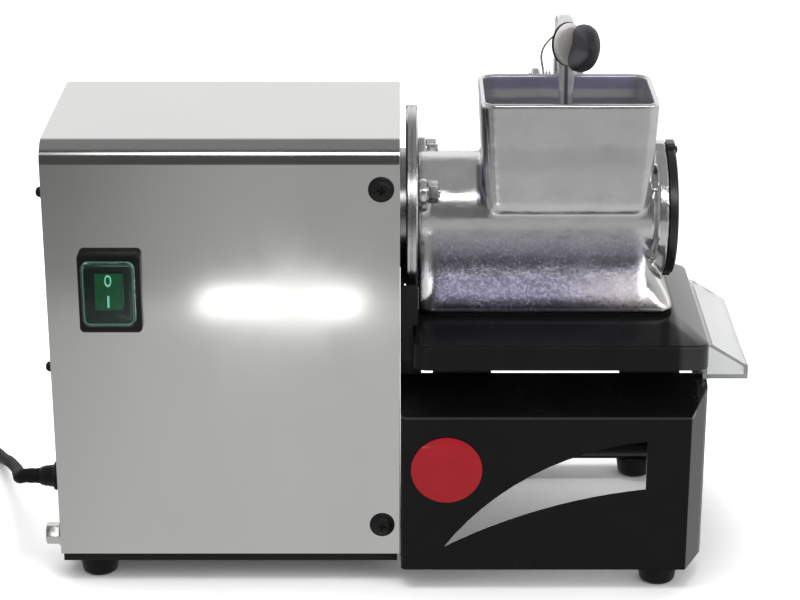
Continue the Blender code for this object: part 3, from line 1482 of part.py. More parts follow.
def flange_nuts():
    """Hexagon nuts on studs, which draw the cast body against the flange."""
    lug_right = BODY_LEFT + STUD_LUG_LENGTH
    left = lug_right + CLEARANCE
    for name, centre in zip(("flange_nut_front", "flange_nut_rear"), stud_places()):
        bm = bmesh.new()
        prism(bm, hexagon(*centre, NUT_FLATS), "X", left, left + NUT_HEIGHT)
        nut = make(name, bm, zinc(), (left, *centre))
        bm = bmesh.new()
        stud = circle(*centre, STUD_RADIUS, SMALL_SIDES)
        start = FLANGE_RIGHT - STUD_BITE
        prism(bm, stud, "X", start, start + STUD_LENGTH)
        join(nut, helper(f"{name}_stud", bm))


def drive_shaft(drum_axis):
    bm = bmesh.new()
    shaft = circle(*AXIS, SHAFT_RADIUS, MID_SIDES)
    prism(bm, shaft, "X", CASE_LEFT, BODY_RIGHT - SHAFT_END_GAP)
    make("drive_shaft", bm, machined_steel(), drum_axis.location, drum_axis)


def grating_drum(drum_axis):
    """A sheet drum whose punched holes stand up as sharp crowns, each row between the last."""
    length = DRUM_RIGHT - DRUM_LEFT
    inner_radius = DRUM_RADIUS - DRUM_SHEET
    bm = bmesh.new()

    def point(row, column, radius):
        angle = 2 * math.pi * row / DRUM_ROWS
        along = DRUM_LEFT + length * column / DRUM_COLUMNS
        across = AXIS_Y + radius * math.cos(angle)
        return bm.verts.new((along, across, AXIS_Z + radius * math.sin(angle)))

    def grid(radius):
        return [
            [point(row, column, radius) for column in range(DRUM_COLUMNS + 1)]
            for row in range(DRUM_ROWS)
        ]

    def cell(corners, row, column):
        following = (row + 1) % DRUM_ROWS
        return (
            corners[row][column],
            corners[row][column + 1],
            corners[following][column + 1],
            corners[following][column],
        )

    def loop(row, column, share, radius):
        half = share / 2
        middle_row = row + 0.5
        middle_column = column + 0.5
        return (
            point(middle_row - half, middle_column - half, radius),
            point(middle_row - half, middle_column + half, radius),
            point(middle_row + half, middle_column + half, radius),
            point(middle_row + half, middle_column - half, radius),
        )

    outside = grid(DRUM_RADIUS)
    inside = grid(inner_radius)
    for row in range(DRUM_ROWS):
        for column in range(DRUM_COLUMNS):
            outer = cell(outside, row, column)
            inner = cell(inside, row, column)
            if (row + column) % 2:
                bm.faces.new(outer)
                bm.faces.new(inner)
                continue
            foot = loop(row, column, CROWN_FOOT_SHARE, DRUM_RADIUS)
            tip = loop(row, column, CROWN_TIP_SHARE, DRUM_RADIUS + TOOTH_HEIGHT)
            hole = loop(row, column, CROWN_HOLE_SHARE, inner_radius)
            for first, second in ((outer, foot), (foot, tip), (tip, hole), (hole, inner)):
                bridge(bm, first, second)
    for column in (0, DRUM_COLUMNS):
        first = [outside[row][column] for row in range(DRUM_ROWS)]
        bridge(bm, first, [inside[row][column] for row in range(DRUM_ROWS)])
    make("grating_drum", bm, stainless(), drum_axis.location, drum_axis)
    rim = inner_radius * math.cos(math.pi / DRUM_ROWS) - CLEARANCE
    bore = SHAFT_RADIUS + CLEARANCE
    for name, start, inward in (
        ("drum_hub_left", DRUM_LEFT, 1),
        ("drum_hub_right", DRUM_RIGHT, -1),
    ):
        web = start + inward * HUB_WEB
        end = start + inward * HUB_LENGTH
        profile = (
            (start, bore),
            (start, rim),
            (end, rim),
            (end, rim - HUB_WEB),
            (web, rim - HUB_WEB),
            (web, HUB_BOSS_RADIUS),
            (end, HUB_BOSS_RADIUS),
            (end, bore),
        )
        bm = bmesh.new()
        turned(bm, profile, "X", AXIS, MID_SIDES, True)
        make(name, bm, cast_aluminium(), drum_axis.location, drum_axis)


# The cast body


def hopper_outline(inset, low_inset=0):
    radius = max(HOPPER_CORNER - inset, CLEARANCE)
    return rectangle(
        HOPPER_LEFT + inset + low_inset,
        HOPPER_RIGHT - inset - low_inset,
        HOPPER_FRONT + inset,
        HOPPER_REAR - inset,
        radius,
    )


def throat_outline():
    side = THROAT_SIDE
    radius = HOPPER_CORNER - HOPPER_WALL
    return rectangle(HOPPER_LEFT + side, HOPPER_RIGHT - side, THROAT_FRONT, THROAT_REAR, radius)


def skirt_outline(share, inset):
    """The skirt's plan where it has spread by a share of the way from its waist to its foot."""
    rear = COVER_DEPTH - SKIRT_FRONT
    waist_rear = COVER_DEPTH - SKIRT_WAIST_FRONT
    right = SKIRT_WAIST_RIGHT + (SKIRT_RIGHT - SKIRT_WAIST_RIGHT) * share
    front = SKIRT_WAIST_FRONT + (SKIRT_FRONT - SKIRT_WAIST_FRONT) * share
    back = waist_rear + (rear - waist_rear) * share
    radius = SKIRT_CORNER - inset
    return rectangle(
        SKIRT_LEFT + inset, right - inset, front + inset, back - inset, radius
    )


def skirt_sections(inset):
    sections = []
    for down, spread in zip(SKIRT_DOWN_SHARES, SKIRT_SPREAD_SHARES):
        sections.append((skirt_outline(spread, inset), SKIRT_TOP - SKIRT_HEIGHT * down))
    return sections


def end_outline(radius, reach):
    """A round end with a lug above and one below."""
    half = END_LUG_WIDTH / 2
    start = math.asin(half / radius)
    points = []
    steps = MID_SIDES // 2
    for middle in (0, math.pi):
        for step in range(steps + 1):
            span = math.pi - 2 * start
            angle = middle - span / 2 + span * step / steps
            points.append((AXIS_Y + radius * math.cos(angle), AXIS_Z + radius * math.sin(angle)))
        up = 1 if middle == 0 else -1
        ease = END_LUG_WIDTH / 8
        points.append((AXIS_Y + up * half, AXIS_Z + up * (reach - ease)))
        points.append((AXIS_Y + up * (half - ease), AXIS_Z + up * reach))
        points.append((AXIS_Y - up * (half - ease), AXIS_Z + up * reach))
        points.append((AXIS_Y - up * half, AXIS_Z + up * (reach - ease)))
    return points


def grater_body():
    """One casting: the barrel round the drum, the hopper over it and the skirt that spreads below."""
    bm = bmesh.new()
    prism(bm, circle(*AXIS, BARREL_RADIUS, BIG_SIDES), "X", BODY_LEFT, BODY_RIGHT)
    body = make("grater_body", bm, cast_aluminium())
    heel = HOPPER_LOW + HOPPER_HEEL / 2
    bm = bmesh.new()
    sections = [
        (hopper_outline(0), HOPPER_TOP),
        (hopper_outline(0, HOPPER_DRAFT), heel),
        (hopper_outline(HOPPER_DRAFT, HOPPER_DRAFT), HOPPER_LOW),
        (hopper_outline(HOPPER_CORNER, HOPPER_DRAFT), HOPPER_LOW - HOPPER_HEEL / 3),
    ]
    lofted(bm, sections, "Z")
    join(body, helper("body_hopper", bm))
    bm = bmesh.new()
    lofted(bm, skirt_sections(0), "Z")
    join(body, helper("body_skirt", bm))
    bm = bmesh.new()
    ring = end_outline(END_RING_RADIUS, END_LUG_REACH)
    prism(bm, ring, "X", BODY_RIGHT - END_RING_LENGTH, BODY_RIGHT)
    join(body, helper("body_end_ring", bm))
    bm = bmesh.new()
    lug_right = BODY_LEFT + STUD_LUG_LENGTH
    for across, up in stud_places():
        prism(bm, lug_outline(across, up), "X", BODY_LEFT, lug_right)
    join(body, helper("body_stud_lugs", bm))
    bm = bmesh.new()
    for start in (HINGE_LEFT, HINGE_RIGHT - HINGE_LUG_THICK):
        prism(bm, hinge_lug_outline(), "X", start, start + HINGE_LUG_THICK)
    join(body, helper("body_hinge_lugs", bm))
    bore_start = BODY_LEFT + BODY_LEFT_WALL
    bore_end = BODY_RIGHT + OVERRUN
    bored(body, "body_bore", AXIS, BORE_RADIUS, "X", bore_start, bore_end, BIG_SIDES)
    bm = bmesh.new()
    inner = rectangle(
        HOPPER_LEFT + HOPPER_WALL,
        HOPPER_RIGHT - HOPPER_WALL,
        HOPPER_FRONT + HOPPER_FRONT_WALL,
        HOPPER_REAR - HOPPER_WALL,
        HOPPER_CORNER - HOPPER_WALL,
    )
    sections = [
        (inner, HOPPER_TOP + OVERRUN),
        (inner, PRESSER_TOP),
        (throat_outline(), THROAT_LOW),
        (throat_outline(), AXIS_Z),
    ]
    lofted(bm, sections, "Z")
    cut(body, helper("body_throat", bm))
    bm = bmesh.new()
    sections = skirt_sections(SKIRT_WALL)
    foot = (skirt_outline(1, SKIRT_WALL), SKIRT_LOW - OVERRUN)
    lofted(bm, [*sections, foot], "Z")
    cut(body, helper("body_outlet", bm))
    bored(
        body,
        "body_shaft_hole",
        AXIS,
        SHAFT_RADIUS + RUNNING_GAP,
        "X",
        BODY_LEFT - OVERRUN,
        BODY_LEFT + BODY_LEFT_WALL + OVERRUN,
    )
    bm = bmesh.new()
    for across, up in stud_places():
        hole = circle(across, up, STUD_RADIUS + CLEARANCE, SMALL_SIDES)
        prism(bm, hole, "X", BODY_LEFT - OVERRUN, lug_right + OVERRUN)
    pin = circle(*HINGE, PIN_RADIUS + CLEARANCE, SMALL_SIDES)
    prism(bm, pin, "X", HINGE_LEFT - OVERRUN, HINGE_RIGHT + OVERRUN)
    for across, up in cap_screw_places():
        hole = circle(across, up, CAP_SCREW_RADIUS + CLEARANCE, SMALL_SIDES)
        prism(bm, hole, "X", BODY_RIGHT - CAP_SCREW_BITE - CLEARANCE, BODY_RIGHT + OVERRUN)
    cut(body, helper("body_fastener_holes", bm))


def lug_outline(across, up):
    """A stud lug: round at the stud, and as wide where it runs into the barrel."""
    outward = Vector((across - AXIS_Y, up - AXIS_Z)).normalized()
    sideways = Vector((-outward.y, outward.x))
    centre = Vector((across, up))
    root = Vector(AXIS) + outward * (BARREL_RADIUS - STUD_LUG_RADIUS)
    points = [root + sideways * STUD_LUG_RADIUS, root - sideways * STUD_LUG_RADIUS]
    for step in range(SMALL_SIDES + 1):
        angle = math.pi * step / SMALL_SIDES
        reach = outward * math.sin(angle) - sideways * math.cos(angle)
        points.append(centre + reach * STUD_LUG_RADIUS)
    return [tuple(point) for point in points]


def hinge_lug_outline():
    wall = HOPPER_REAR - HOPPER_WALL / 2
    points = [(wall, HINGE_Z - HINGE_LUG_DROP)]
    start = -math.pi / 4
    turn = math.pi / 2 - start
    for step in range(SMALL_SIDES + 1):
        angle = start + turn * step / SMALL_SIDES
        across = HINGE_Y + HINGE_LUG_RADIUS * math.cos(angle)
        points.append((across, HINGE_Z + HINGE_LUG_RADIUS * math.sin(angle)))
    points.append((wall, HOPPER_TOP - HOPPER_WALL / 2))
    return points


def cap_screw_places():
    return ((AXIS_Y, AXIS_Z + CAP_SCREW_CIRCLE), (AXIS_Y, AXIS_Z - CAP_SCREW_CIRCLE))


def end_cap():
    """A cap screwed to the barrel's end, whose boss carries the bush at the shaft's end."""
    outline = end_outline(END_RING_RADIUS, END_LUG_REACH)
    inset = end_outline(END_RING_RADIUS - CAP_CHAMFER, END_LUG_REACH - CAP_CHAMFER)
    bm = bmesh.new()
    sections = [(outline, CAP_LEFT), (outline, CAP_RIGHT - CAP_CHAMFER), (inset, CAP_RIGHT)]
    lofted(bm, sections, "X")
    cap = make("end_cap", bm, black_plastic(), (CAP_LEFT, *AXIS))
    boss_left = BODY_RIGHT - CAP_BOSS_LENGTH
    bm = bmesh.new()
    boss = circle(*AXIS, CAP_BOSS_RADIUS, MID_SIDES)
    prism(bm, boss, "X", boss_left, CAP_LEFT + CAP_THICK / 2)
    join(cap, helper("end_cap_boss", bm))
    seat = BUSH_RADIUS + CLEARANCE
    bored(cap, "end_cap_bush_seat", AXIS, seat, "X", boss_left - OVERRUN, BODY_RIGHT)
    bm = bmesh.new()
    for across, up in cap_screw_places():
        hole = circle(across, up, CAP_SCREW_RADIUS + CLEARANCE, SMALL_SIDES)
        prism(bm, hole, "X", CAP_LEFT - OVERRUN, CAP_RIGHT + OVERRUN)
    cut(cap, helper("end_cap_screw_holes", bm))
    right = BODY_RIGHT - CLEARANCE
    inner = SHAFT_RADIUS + CLEARANCE
    profile = (
        (boss_left, inner),
        (boss_left, BUSH_RADIUS),
        (right, BUSH_RADIUS),
        (right, inner),
    )
    bm = bmesh.new()
    turned(bm, profile, "X", AXIS, MID_SIDES, True)
    make("drum_end_bush", bm, nylon(), (boss_left, *AXIS))


# The lever


def presser_outline(inset):
    """The presser's side: an arc over the drum, and a front that swings past the hopper's wall."""
    under = DRUM_RADIUS + TOOTH_HEIGHT + PRESSER_GAP + inset
    reach = PRESSER_REACH - inset
    rear = PRESSER_REAR - inset
    rear_angle = math.acos((rear - AXIS_Y) / under)
    apart = math.hypot(HINGE_Y - AXIS_Y, HINGE_Z - AXIS_Z)
    toward = math.atan2(HINGE_Z - AXIS_Z, HINGE_Y - AXIS_Y)
    spread = math.acos((under**2 + apart**2 - reach**2) / (2 * under * apart))
    front_angle = toward + spread
    points = []
    for step in range(SMALL_SIDES + 1):
        angle = rear_angle + (front_angle - rear_angle) * step / SMALL_SIDES
        points.append((AXIS_Y + under * math.cos(angle), AXIS_Z + under * math.sin(angle)))
    low = math.atan2(points[-1][1] - HINGE_Z, points[-1][0] - HINGE_Y) % (2 * math.pi)
    top = math.pi + math.asin((HINGE_Z - PRESSER_TOP) / reach)
    steps = SMALL_SIDES // 2
    for step in range(1, steps + 1):
        angle = low + (top - low) * step / steps
        points.append((HINGE_Y + reach * math.cos(angle), HINGE_Z + reach * math.sin(angle)))
    points.append((rear, PRESSER_TOP))
    return points


def presser(lever_axis):
    """A light presser, hollow from above on both sides of the web that carries the lever."""
    bm = bmesh.new()
    prism(bm, presser_outline(0), "X", PRESSER_LEFT, PRESSER_RIGHT)
    block = make("presser", bm, cast_aluminium(), lever_axis.location, lever_axis)
    outline = presser_outline(PRESSER_WALL)
    raised = [(across, up + OVERRUN if up == PRESSER_TOP else up) for across, up in outline[:-1]]
    last = raised[-1]
    raised[-1] = (last[0], PRESSER_TOP)
    raised.append((last[0], PRESSER_TOP + OVERRUN))
    raised.append((outline[-1][0], PRESSER_TOP + OVERRUN))
    bm = bmesh.new()
    wall = PRESSER_WALL
    half = PRESSER_WEB / 2
    prism(bm, raised, "X", PRESSER_LEFT + wall, LEVER_X - half)
    prism(bm, raised, "X", LEVER_X + half, PRESSER_RIGHT - wall)
    cut(block, helper("presser_pockets", bm))


def lever(lever_axis):
    """A bright hook of a lever: up from the hinge, over the rim, and down to the presser."""
    front = LEVER_FRONT_Y
    depth = LEVER_FRONT_DEPTH
    rear_leg = HINGE_Y - LEVER_EYE_RADIUS
    apex = (LEVER_APEX_Y, LEVER_APEX_Z)
    crotch = LEVER_CROTCH_Z
    corners = (
        (rear_leg, HINGE_Z),
        (HINGE_Y + LEVER_EYE_RADIUS, HINGE_Z),
        (rear_leg + LEVER_LEG_DEPTH, crotch),
        (LEVER_APEX_Y + LEVER_HEAD_DEPTH / 2, LEVER_APEX_Z),
        apex,
        (front + depth, LEVER_APEX_Z - LEVER_HEAD_DEPTH / 3),
        (front, LEVER_APEX_Z - LEVER_HEAD_DEPTH),
        (front, LEVER_FRONT_Z),
        (front + depth, LEVER_FRONT_Z),
        (front + depth + LEVER_HEAD_DEPTH / 2, crotch + LEVER_HEAD_DEPTH / 3),
        (rear_leg - LEVER_HEAD_DEPTH / 2, crotch),
        (rear_leg, crotch - LEVER_HEAD_DEPTH),
    )
    ease = LEVER_HEAD_DEPTH / 3
    radii = (0, 0, ease, ease, ease, ease, ease, 0, 0, ease, ease, ease)
    bm = bmesh.new()
    prism(bm, rounded(corners, radii, 3), "X", LEVER_LEFT, LEVER_RIGHT)
    hook = make("lever", bm, stainless(), lever_axis.location, lever_axis)
    bm = bmesh.new()
    eye = circle(*HINGE, LEVER_EYE_RADIUS, MID_SIDES)
    prism(bm, eye, "X", LEVER_LEFT, LEVER_RIGHT)
    join(hook, helper("lever_eye", bm))
    boss = oval(GRIP_BOSS_WIDTH, GRIP_BOSS_HEIGHT, SMALL_SIDES)
    sections = [(boss, LEVER_FRONT_DEPTH / 2), (boss, CLEARANCE - GRIP_STAND_OFF)]
    join(hook, helper("lever_grip_boss", grip_shape(sections)))
    foot = PRESSER_TOP + CLEARANCE
    half = LEVER_THICK / 2
    foot_half = LEVER_FOOT_WIDTH / 2
    foot_depth = LEVER_FOOT_DEPTH / 2
    waist = (foot + LEVER_FRONT_Z) / 2
    ease = foot_half / 2
    bm = bmesh.new()
    low = rectangle(
        LEVER_X - foot_half,
        LEVER_X + foot_half,
        LEVER_FOOT_Y - foot_depth,
        LEVER_FOOT_Y + foot_depth,
        ease,
        2,
    )
    middle_half = (half + foot_half) / 2
    middle = rectangle(
        LEVER_X - middle_half,
        LEVER_X + middle_half,
        (front + LEVER_FOOT_Y - foot_depth) / 2,
        (front + depth + LEVER_FOOT_Y + foot_depth) / 2,
        ease,
        2,
    )
    inset = CLEARANCE / 3
    high = rectangle(
        LEVER_X - half + inset, LEVER_X + half - inset, front + inset, front + depth - inset, ease, 2
    )
    rise = LEVER_FRONT_Z + ease
    lofted(bm, [(low, foot), (middle, waist), (high, LEVER_FRONT_Z - ease), (high, rise)], "Z")
    join(hook, helper("lever_front_leg", bm))
    bored(
        hook,
        "lever_bore",
        HINGE,
        PIN_RADIUS + CLEARANCE,
        "X",
        LEVER_LEFT - OVERRUN,
        LEVER_RIGHT + OVERRUN,
        SMALL_SIDES,
    )
    seat = HINGE_LEFT - CLEARANCE
    profile = (
        (seat - PIN_PROUD, 0),
        (seat - PIN_PROUD, PIN_HEAD),
        (seat, PIN_HEAD),
        (seat, PIN_RADIUS),
        (HINGE_RIGHT + PIN_PROUD, PIN_RADIUS),
        (HINGE_RIGHT + PIN_PROUD, 0),
    )
    bm = bmesh.new()
    turned(bm, profile, "X", HINGE, SMALL_SIDES)
    make("lever_pin", bm, zinc(), (LEVER_X, *HINGE))


def oval(width, height, sides=MID_SIDES):
    """A full oval across and up, a little squarer than an ellipse."""
    points = []
    for side in range(sides):
        angle = 2 * math.pi * side / sides
        x, y = math.cos(angle), math.sin(angle)
        fuller = (abs(x) ** 2.4 + abs(y) ** 2.4) ** (-1 / 2.4)
        points.append((width / 2 * x * fuller, height / 2 * y * fuller))
    return points


def grip_piece(name, sections, material, lever_axis):
    """A piece on the grip's own axis, which leads forward and a little to the right and up."""
    make(name, grip_shape(sections), material, lever_axis.location, lever_axis)


def grip_shape(sections):
    bm = bmesh.new()
    lofted(bm, sections, "Y")
    turn = Matrix.Rotation(math.radians(GRIP_TURN), 4, "Z")
    rise = Matrix.Rotation(math.radians(-GRIP_RISE), 4, "X")
    root = Matrix.Translation((GRIP_ROOT_X, LEVER_FRONT_Y, GRIP_ROOT_Z))
    bm.transform(root @ turn @ rise)
    return bm


def grip(lever_axis):
    """A black collar and a bright oval on the lever's head, and a black bean-shaped knob on them."""
    wide = oval(GRIP_COLLAR_WIDTH, GRIP_COLLAR_HEIGHT)
    eased = oval(GRIP_COLLAR_WIDTH - GRIP_COLLAR, GRIP_COLLAR_HEIGHT - GRIP_COLLAR)
    start = -GRIP_STAND_OFF
    sections = [(eased, start), (wide, start - GRIP_COLLAR / 2), (wide, start - GRIP_COLLAR)]
    grip_piece("grip_collar", sections, black_plastic(), lever_axis)
    start -= GRIP_COLLAR + CLEARANCE
    ring = oval(GRIP_COLLAR_WIDTH - GRIP_FACE / 4, GRIP_COLLAR_HEIGHT - GRIP_FACE / 4)
    dome = oval(GRIP_COLLAR_WIDTH - GRIP_FACE, GRIP_COLLAR_HEIGHT - GRIP_FACE)
    sections = [(ring, start), (ring, start - GRIP_FACE / 2), (dome, start - GRIP_FACE)]
    grip_piece("grip_face", sections, stainless(), lever_axis)
    start -= GRIP_FACE + CLEARANCE
    sections = []
    for along, swell in zip(GRIP_ALONG_SHARES, GRIP_SWELL_SHARES):
        outline = oval(GRIP_WIDTH * swell, GRIP_HEIGHT * swell)
        sections.append((outline, start - GRIP_LENGTH * along))
    grip_piece("lever_grip", sections, black_plastic(), lever_axis)


def lever_spring():
    """A torsion spring on the hinge pin, with one arm up beside the lever and one on the hopper."""
    points = []
    count = SPRING_TURNS * SPRING_POINTS
    start_x = LEVER_LEFT - CLEARANCE - SPRING_WIRE
    quarter = SPRING_POINTS // 4
    wall = HOPPER_REAR + CLEARANCE + SPRING_WIRE
    points.append((start_x, wall + SPRING_WIRE, HINGE_Z - SPRING_DROP))
    for step in range(count + quarter * 4 + 1):
        angle = math.pi - 2 * math.pi * step / SPRING_POINTS
        if step > count:
            break
        x = start_x - SPRING_PITCH * step / SPRING_POINTS
        y = HINGE_Y + SPRING_RADIUS * math.cos(angle)
        points.append((x, y, HINGE_Z - SPRING_RADIUS * math.sin(angle)))
    last = Vector(points[-1])
    arm = SMALL_SIDES
    for step in range(1, arm + 1):
        share = step / arm
        x = last.x + (start_x - last.x) * share - SPRING_BULGE * math.sin(math.pi * share) * share
        points.append((x, last.y + SPRING_WIRE * share, last.z + SPRING_RISE * share))
    wire("lever_spring", points, SPRING_WIRE, 1, zinc())


# The base, the plate and the drawer


def base_shape(inset, low, high):
    """The base's outline in plan, cut off by the slope of its front."""
    corner = BASE_CORNER - inset
    left_corner = BASE_LEFT_CORNER - inset
    corners = (
        (BASE_LEFT + inset, BASE_FRONT + inset),
        (BASE_RIGHT - inset, BASE_FRONT + inset),
        (BASE_RIGHT - inset, BASE_REAR - inset),
        (BASE_LEFT + inset, BASE_REAR - inset),
    )
    outline = rounded(corners, (left_corner, corner, corner, left_corner), 6)
    bm = bmesh.new()
    prism(bm, outline, "Z", low, high)
    normal = Vector((0, -BASE_SLOPE, 1)).normalized()
    fold = Vector((0, BASE_FRONT, BASE_FOLD)) - normal * inset
    bmesh.ops.bisect_plane(
        bm,
        geom=[*bm.verts, *bm.edges, *bm.faces],
        plane_co=fold,
        plane_no=normal,
        clear_outer=True,
    )
    open_edges = [edge for edge in bm.edges if edge.is_boundary]
    bmesh.ops.edgeloop_fill(bm, edges=open_edges)
    return bm


def crescent():
    high = (CRESCENT_RIGHT, CRESCENT_HIGH)
    low = (CRESCENT_RIGHT, CRESCENT_LOW)
    upper = arc_through(CRESCENT_TIP, CRESCENT_UPPER, high, CRESCENT_STEPS)
    lower = arc_through(low, CRESCENT_LOWER, CRESCENT_TIP, CRESCENT_STEPS)
    return upper + lower[:-1]


def block_lefts():
    return (BLOCK_LEFT, BLOCK_LEFT + BLOCK_SPACING)


def base_frame():
    """A folded sheet base: a sloped front with a crescent in it, and an open rear, side and floor.

    The sheet turns in under the front right foot and all along the rear.
    """
    sheet = BASE_SHEET
    base = make("base_frame", base_shape(0, FOOT_HEIGHT, BASE_TOP), black_gloss())
    hollow = base_shape(sheet, FOOT_HEIGHT - OVERRUN, BASE_TOP - sheet)
    cut(base, helper("base_hollow", hollow))
    bm = bmesh.new()
    prism(bm, crescent(), "Y", BASE_FRONT - OVERRUN, BASE_FRONT + sheet + OVERRUN)
    cut(base, helper("base_crescent", bm))
    lip = BASE_LIP_Y + BASE_LIP_DEPTH
    runner = DRAWER_FRONT + RUNNER_DEPTH
    left = BASE_LEFT + BASE_RAIL_LEFT
    right = BASE_RIGHT - BASE_RAIL_RIGHT
    outline = [(left, lip)]
    for start in block_lefts():
        end = start + BLOCK_WIDTH
        outline += [(start, lip), (start, runner), (end, runner), (end, lip)]
    outline += [(right, lip), (right, BASE_RAIL_Y), (left, BASE_RAIL_Y)]
    bm = bmesh.new()
    prism(bm, outline, "Z", BASE_TOP - sheet - OVERRUN, BASE_TOP + OVERRUN)
    cut(base, helper("base_top_opening", bm))
    beam = FOOT_HEIGHT + BASE_BEAM
    bm = bmesh.new()
    rear = rectangle(
        BASE_LEFT + BASE_REAR_POST_LEFT, BASE_RIGHT - BASE_REAR_POST_RIGHT, beam, BASE_REAR_HIGH
    )
    prism(bm, rear, "Y", BASE_REAR - sheet - OVERRUN, BASE_REAR + OVERRUN)
    side = rectangle(BASE_SIDE_FRONT, BASE_REAR - BASE_SIDE_REAR, beam, BASE_TOP - sheet)
    prism(bm, side, "X", BASE_RIGHT - sheet - OVERRUN, BASE_RIGHT + OVERRUN)
    cut(base, helper("base_windows", bm))
    half = sheet / 2
    corner = BASE_CORNER - half
    bm = bmesh.new()
    pads = (
        rounded(
            (
                (BASE_RIGHT - half - BASE_PAD, BASE_FRONT + half),
                (BASE_RIGHT - half, BASE_FRONT + half),
                (BASE_RIGHT - half, BASE_FRONT + half + BASE_PAD),
                (BASE_RIGHT - half - BASE_PAD, BASE_FRONT + half + BASE_PAD),
            ),
            (half, corner, half, half),
        ),
        rounded(
            (
                (BASE_LEFT + half, BASE_REAR - half - BASE_REAR_FLANGE),
                (BASE_RIGHT - half, BASE_REAR - half - BASE_REAR_FLANGE),
                (BASE_RIGHT - half, BASE_REAR - half),
                (BASE_LEFT + half, BASE_REAR - half),
            ),
            (half, half, corner, half),
        ),
    )
    for pad in pads:
        prism(bm, pad, "Z", FOOT_HEIGHT, FOOT_HEIGHT + sheet)
    join(base, helper("base_foot_pads", bm))


def badge():
    """A plain domed disc on the base's front."""
    seat = BASE_FRONT - CLEARANCE
    profile = (
        (seat, 0),
        (seat, BADGE_RADIUS),
        (seat - BADGE_RIM, BADGE_RADIUS),
        (seat - BADGE_RIM - BADGE_CROWN * 0.6, BADGE_RADIUS * 0.7),
        (seat - BADGE_RIM - BADGE_CROWN * 0.9, BADGE_RADIUS * 0.35),
        (seat - BADGE_RIM - BADGE_CROWN, 0),
    )
    bm = bmesh.new()
    turned(bm, profile, "Y", (BADGE_X, BADGE_Z), BIG_SIDES)
    make("badge_disc", bm, red_enamel(), (BADGE_X, seat, BADGE_Z))


def table_plate():
    """A moulded plate, open below, that rises from its edge to the foot of the skirt."""

    def outline(inset):
        radius = PLATE_CORNER - inset
        return rectangle(
            PLATE_LEFT + inset, PLATE_RIGHT - inset, PLATE_FRONT + inset, PLATE_REAR - inset, radius
        )

    def top_outline(inset):
        radius = PLATE_CORNER - inset
        step = PLATE_EASE
        return rectangle(
            PLATE_LEFT + inset + step,
            SKIRT_RIGHT + step - inset,
            SKIRT_FRONT - step + inset,
            COVER_DEPTH - SKIRT_FRONT + step - inset,
            radius,
        )

    wall = PLATE_WALL
    outer = [
        (outline(0), PLATE_LOW),
        (outline(0), PLATE_EDGE - PLATE_EASE),
        (outline(PLATE_EASE), PLATE_EDGE),
        (top_outline(0), PLATE_TOP),
    ]
    inner = [
        (outline(wall), PLATE_LOW),
        (outline(wall), PLATE_EDGE - PLATE_EASE - wall),
        (outline(wall + PLATE_EASE), PLATE_EDGE - wall),
        (top_outline(wall), PLATE_TOP - wall),
    ]
    bm = bmesh.new()
    cup(bm, outer, inner, "Z")
    plate = make("table_plate", bm, black_gloss())
    bm = bmesh.new()
    hole = rectangle(OUTLET_LEFT, OUTLET_RIGHT, OUTLET_FRONT, OUTLET_REAR, OUTLET_CORNER)
    prism(bm, hole, "Z", PLATE_LOW - OVERRUN, PLATE_TOP + OVERRUN)
    cut(plate, helper("plate_outlet", bm))
    bored(
        plate,
        "plate_flange_notch",
        AXIS,
        FLANGE_RADIUS + RUNNING_GAP,
        "X",
        PLATE_LEFT - OVERRUN,
        FLANGE_RIGHT + RUNNING_GAP,
        BIG_SIDES,
    )
    top = PLATE_TOP - wall - CLEARANCE
    rear_front = BASE_RAIL_Y + RUNNER_DEPTH + CLEARANCE
    for where, front in (("front", BLOCK_FRONT), ("rear", rear_front)):
        for side, start in zip(("left", "right"), block_lefts()):
            bm = bmesh.new()
            end = start + BLOCK_WIDTH
            block = (
                (start, BASE_TOP + CLEARANCE),
                (end, BASE_TOP + CLEARANCE),
                (end, PLATE_LOW),
                (end - BLOCK_TAPER, top),
                (start + BLOCK_TAPER, top),
                (start, PLATE_LOW),
            )
            prism(bm, block, "Y", front, front + BLOCK_DEPTH)
            name = f"plate_block_{where}_{side}"
            make(name, bm, black_paint(), (start, front, BASE_TOP + CLEARANCE))


def skirt_seal():
    low = PLATE_TOP + CLEARANCE
    outer = skirt_outline(1, SEAL_INSET)
    inner = skirt_outline(1, SEAL_INSET + SEAL_WIDTH)
    bm = bmesh.new()
    tube(bm, outer, inner, "Z", low, low + SEAL_THICK)
    make("skirt_seal", bm, black_rubber())


def support_bracket():
    """A channel between the motor box and the plate, open round the flange's hub."""
    left = BASE_LEFT
    right = PLATE_LEFT - CLEARANCE
    sheet = BRACKET_SHEET
    rear = COVER_DEPTH - BRACKET_FRONT
    low = PLATE_LOW - RUNNING_GAP
    channel = (
        (left, BRACKET_FRONT),
        (right, BRACKET_FRONT),
        (right, BRACKET_FRONT + sheet),
        (left + sheet, BRACKET_FRONT + sheet),
        (left + sheet, rear - sheet),
        (right, rear - sheet),
        (right, rear),
        (left, rear),
    )
    bm = bmesh.new()
    prism(bm, channel, "Z", low, BRACKET_TOP)
    bracket = make("support_bracket", bm, black_paint(), (left, AXIS_Y, low))
    bm = bmesh.new()
    ear_low = PLATE_TOP + CLEARANCE
    for front in (BRACKET_FRONT, rear - sheet):
        ear = rectangle(left + sheet, FLANGE_RIGHT, ear_low, BRACKET_TOP)
        prism(bm, ear, "Y", front, front + sheet)
    join(bracket, helper("bracket_ears", bm))
    hub = FLANGE_HUB_RADIUS + OVERRUN
    bored(bracket, "bracket_hub_hole", AXIS, hub, "X", left - OVERRUN, left + sheet + OVERRUN, BIG_SIDES)


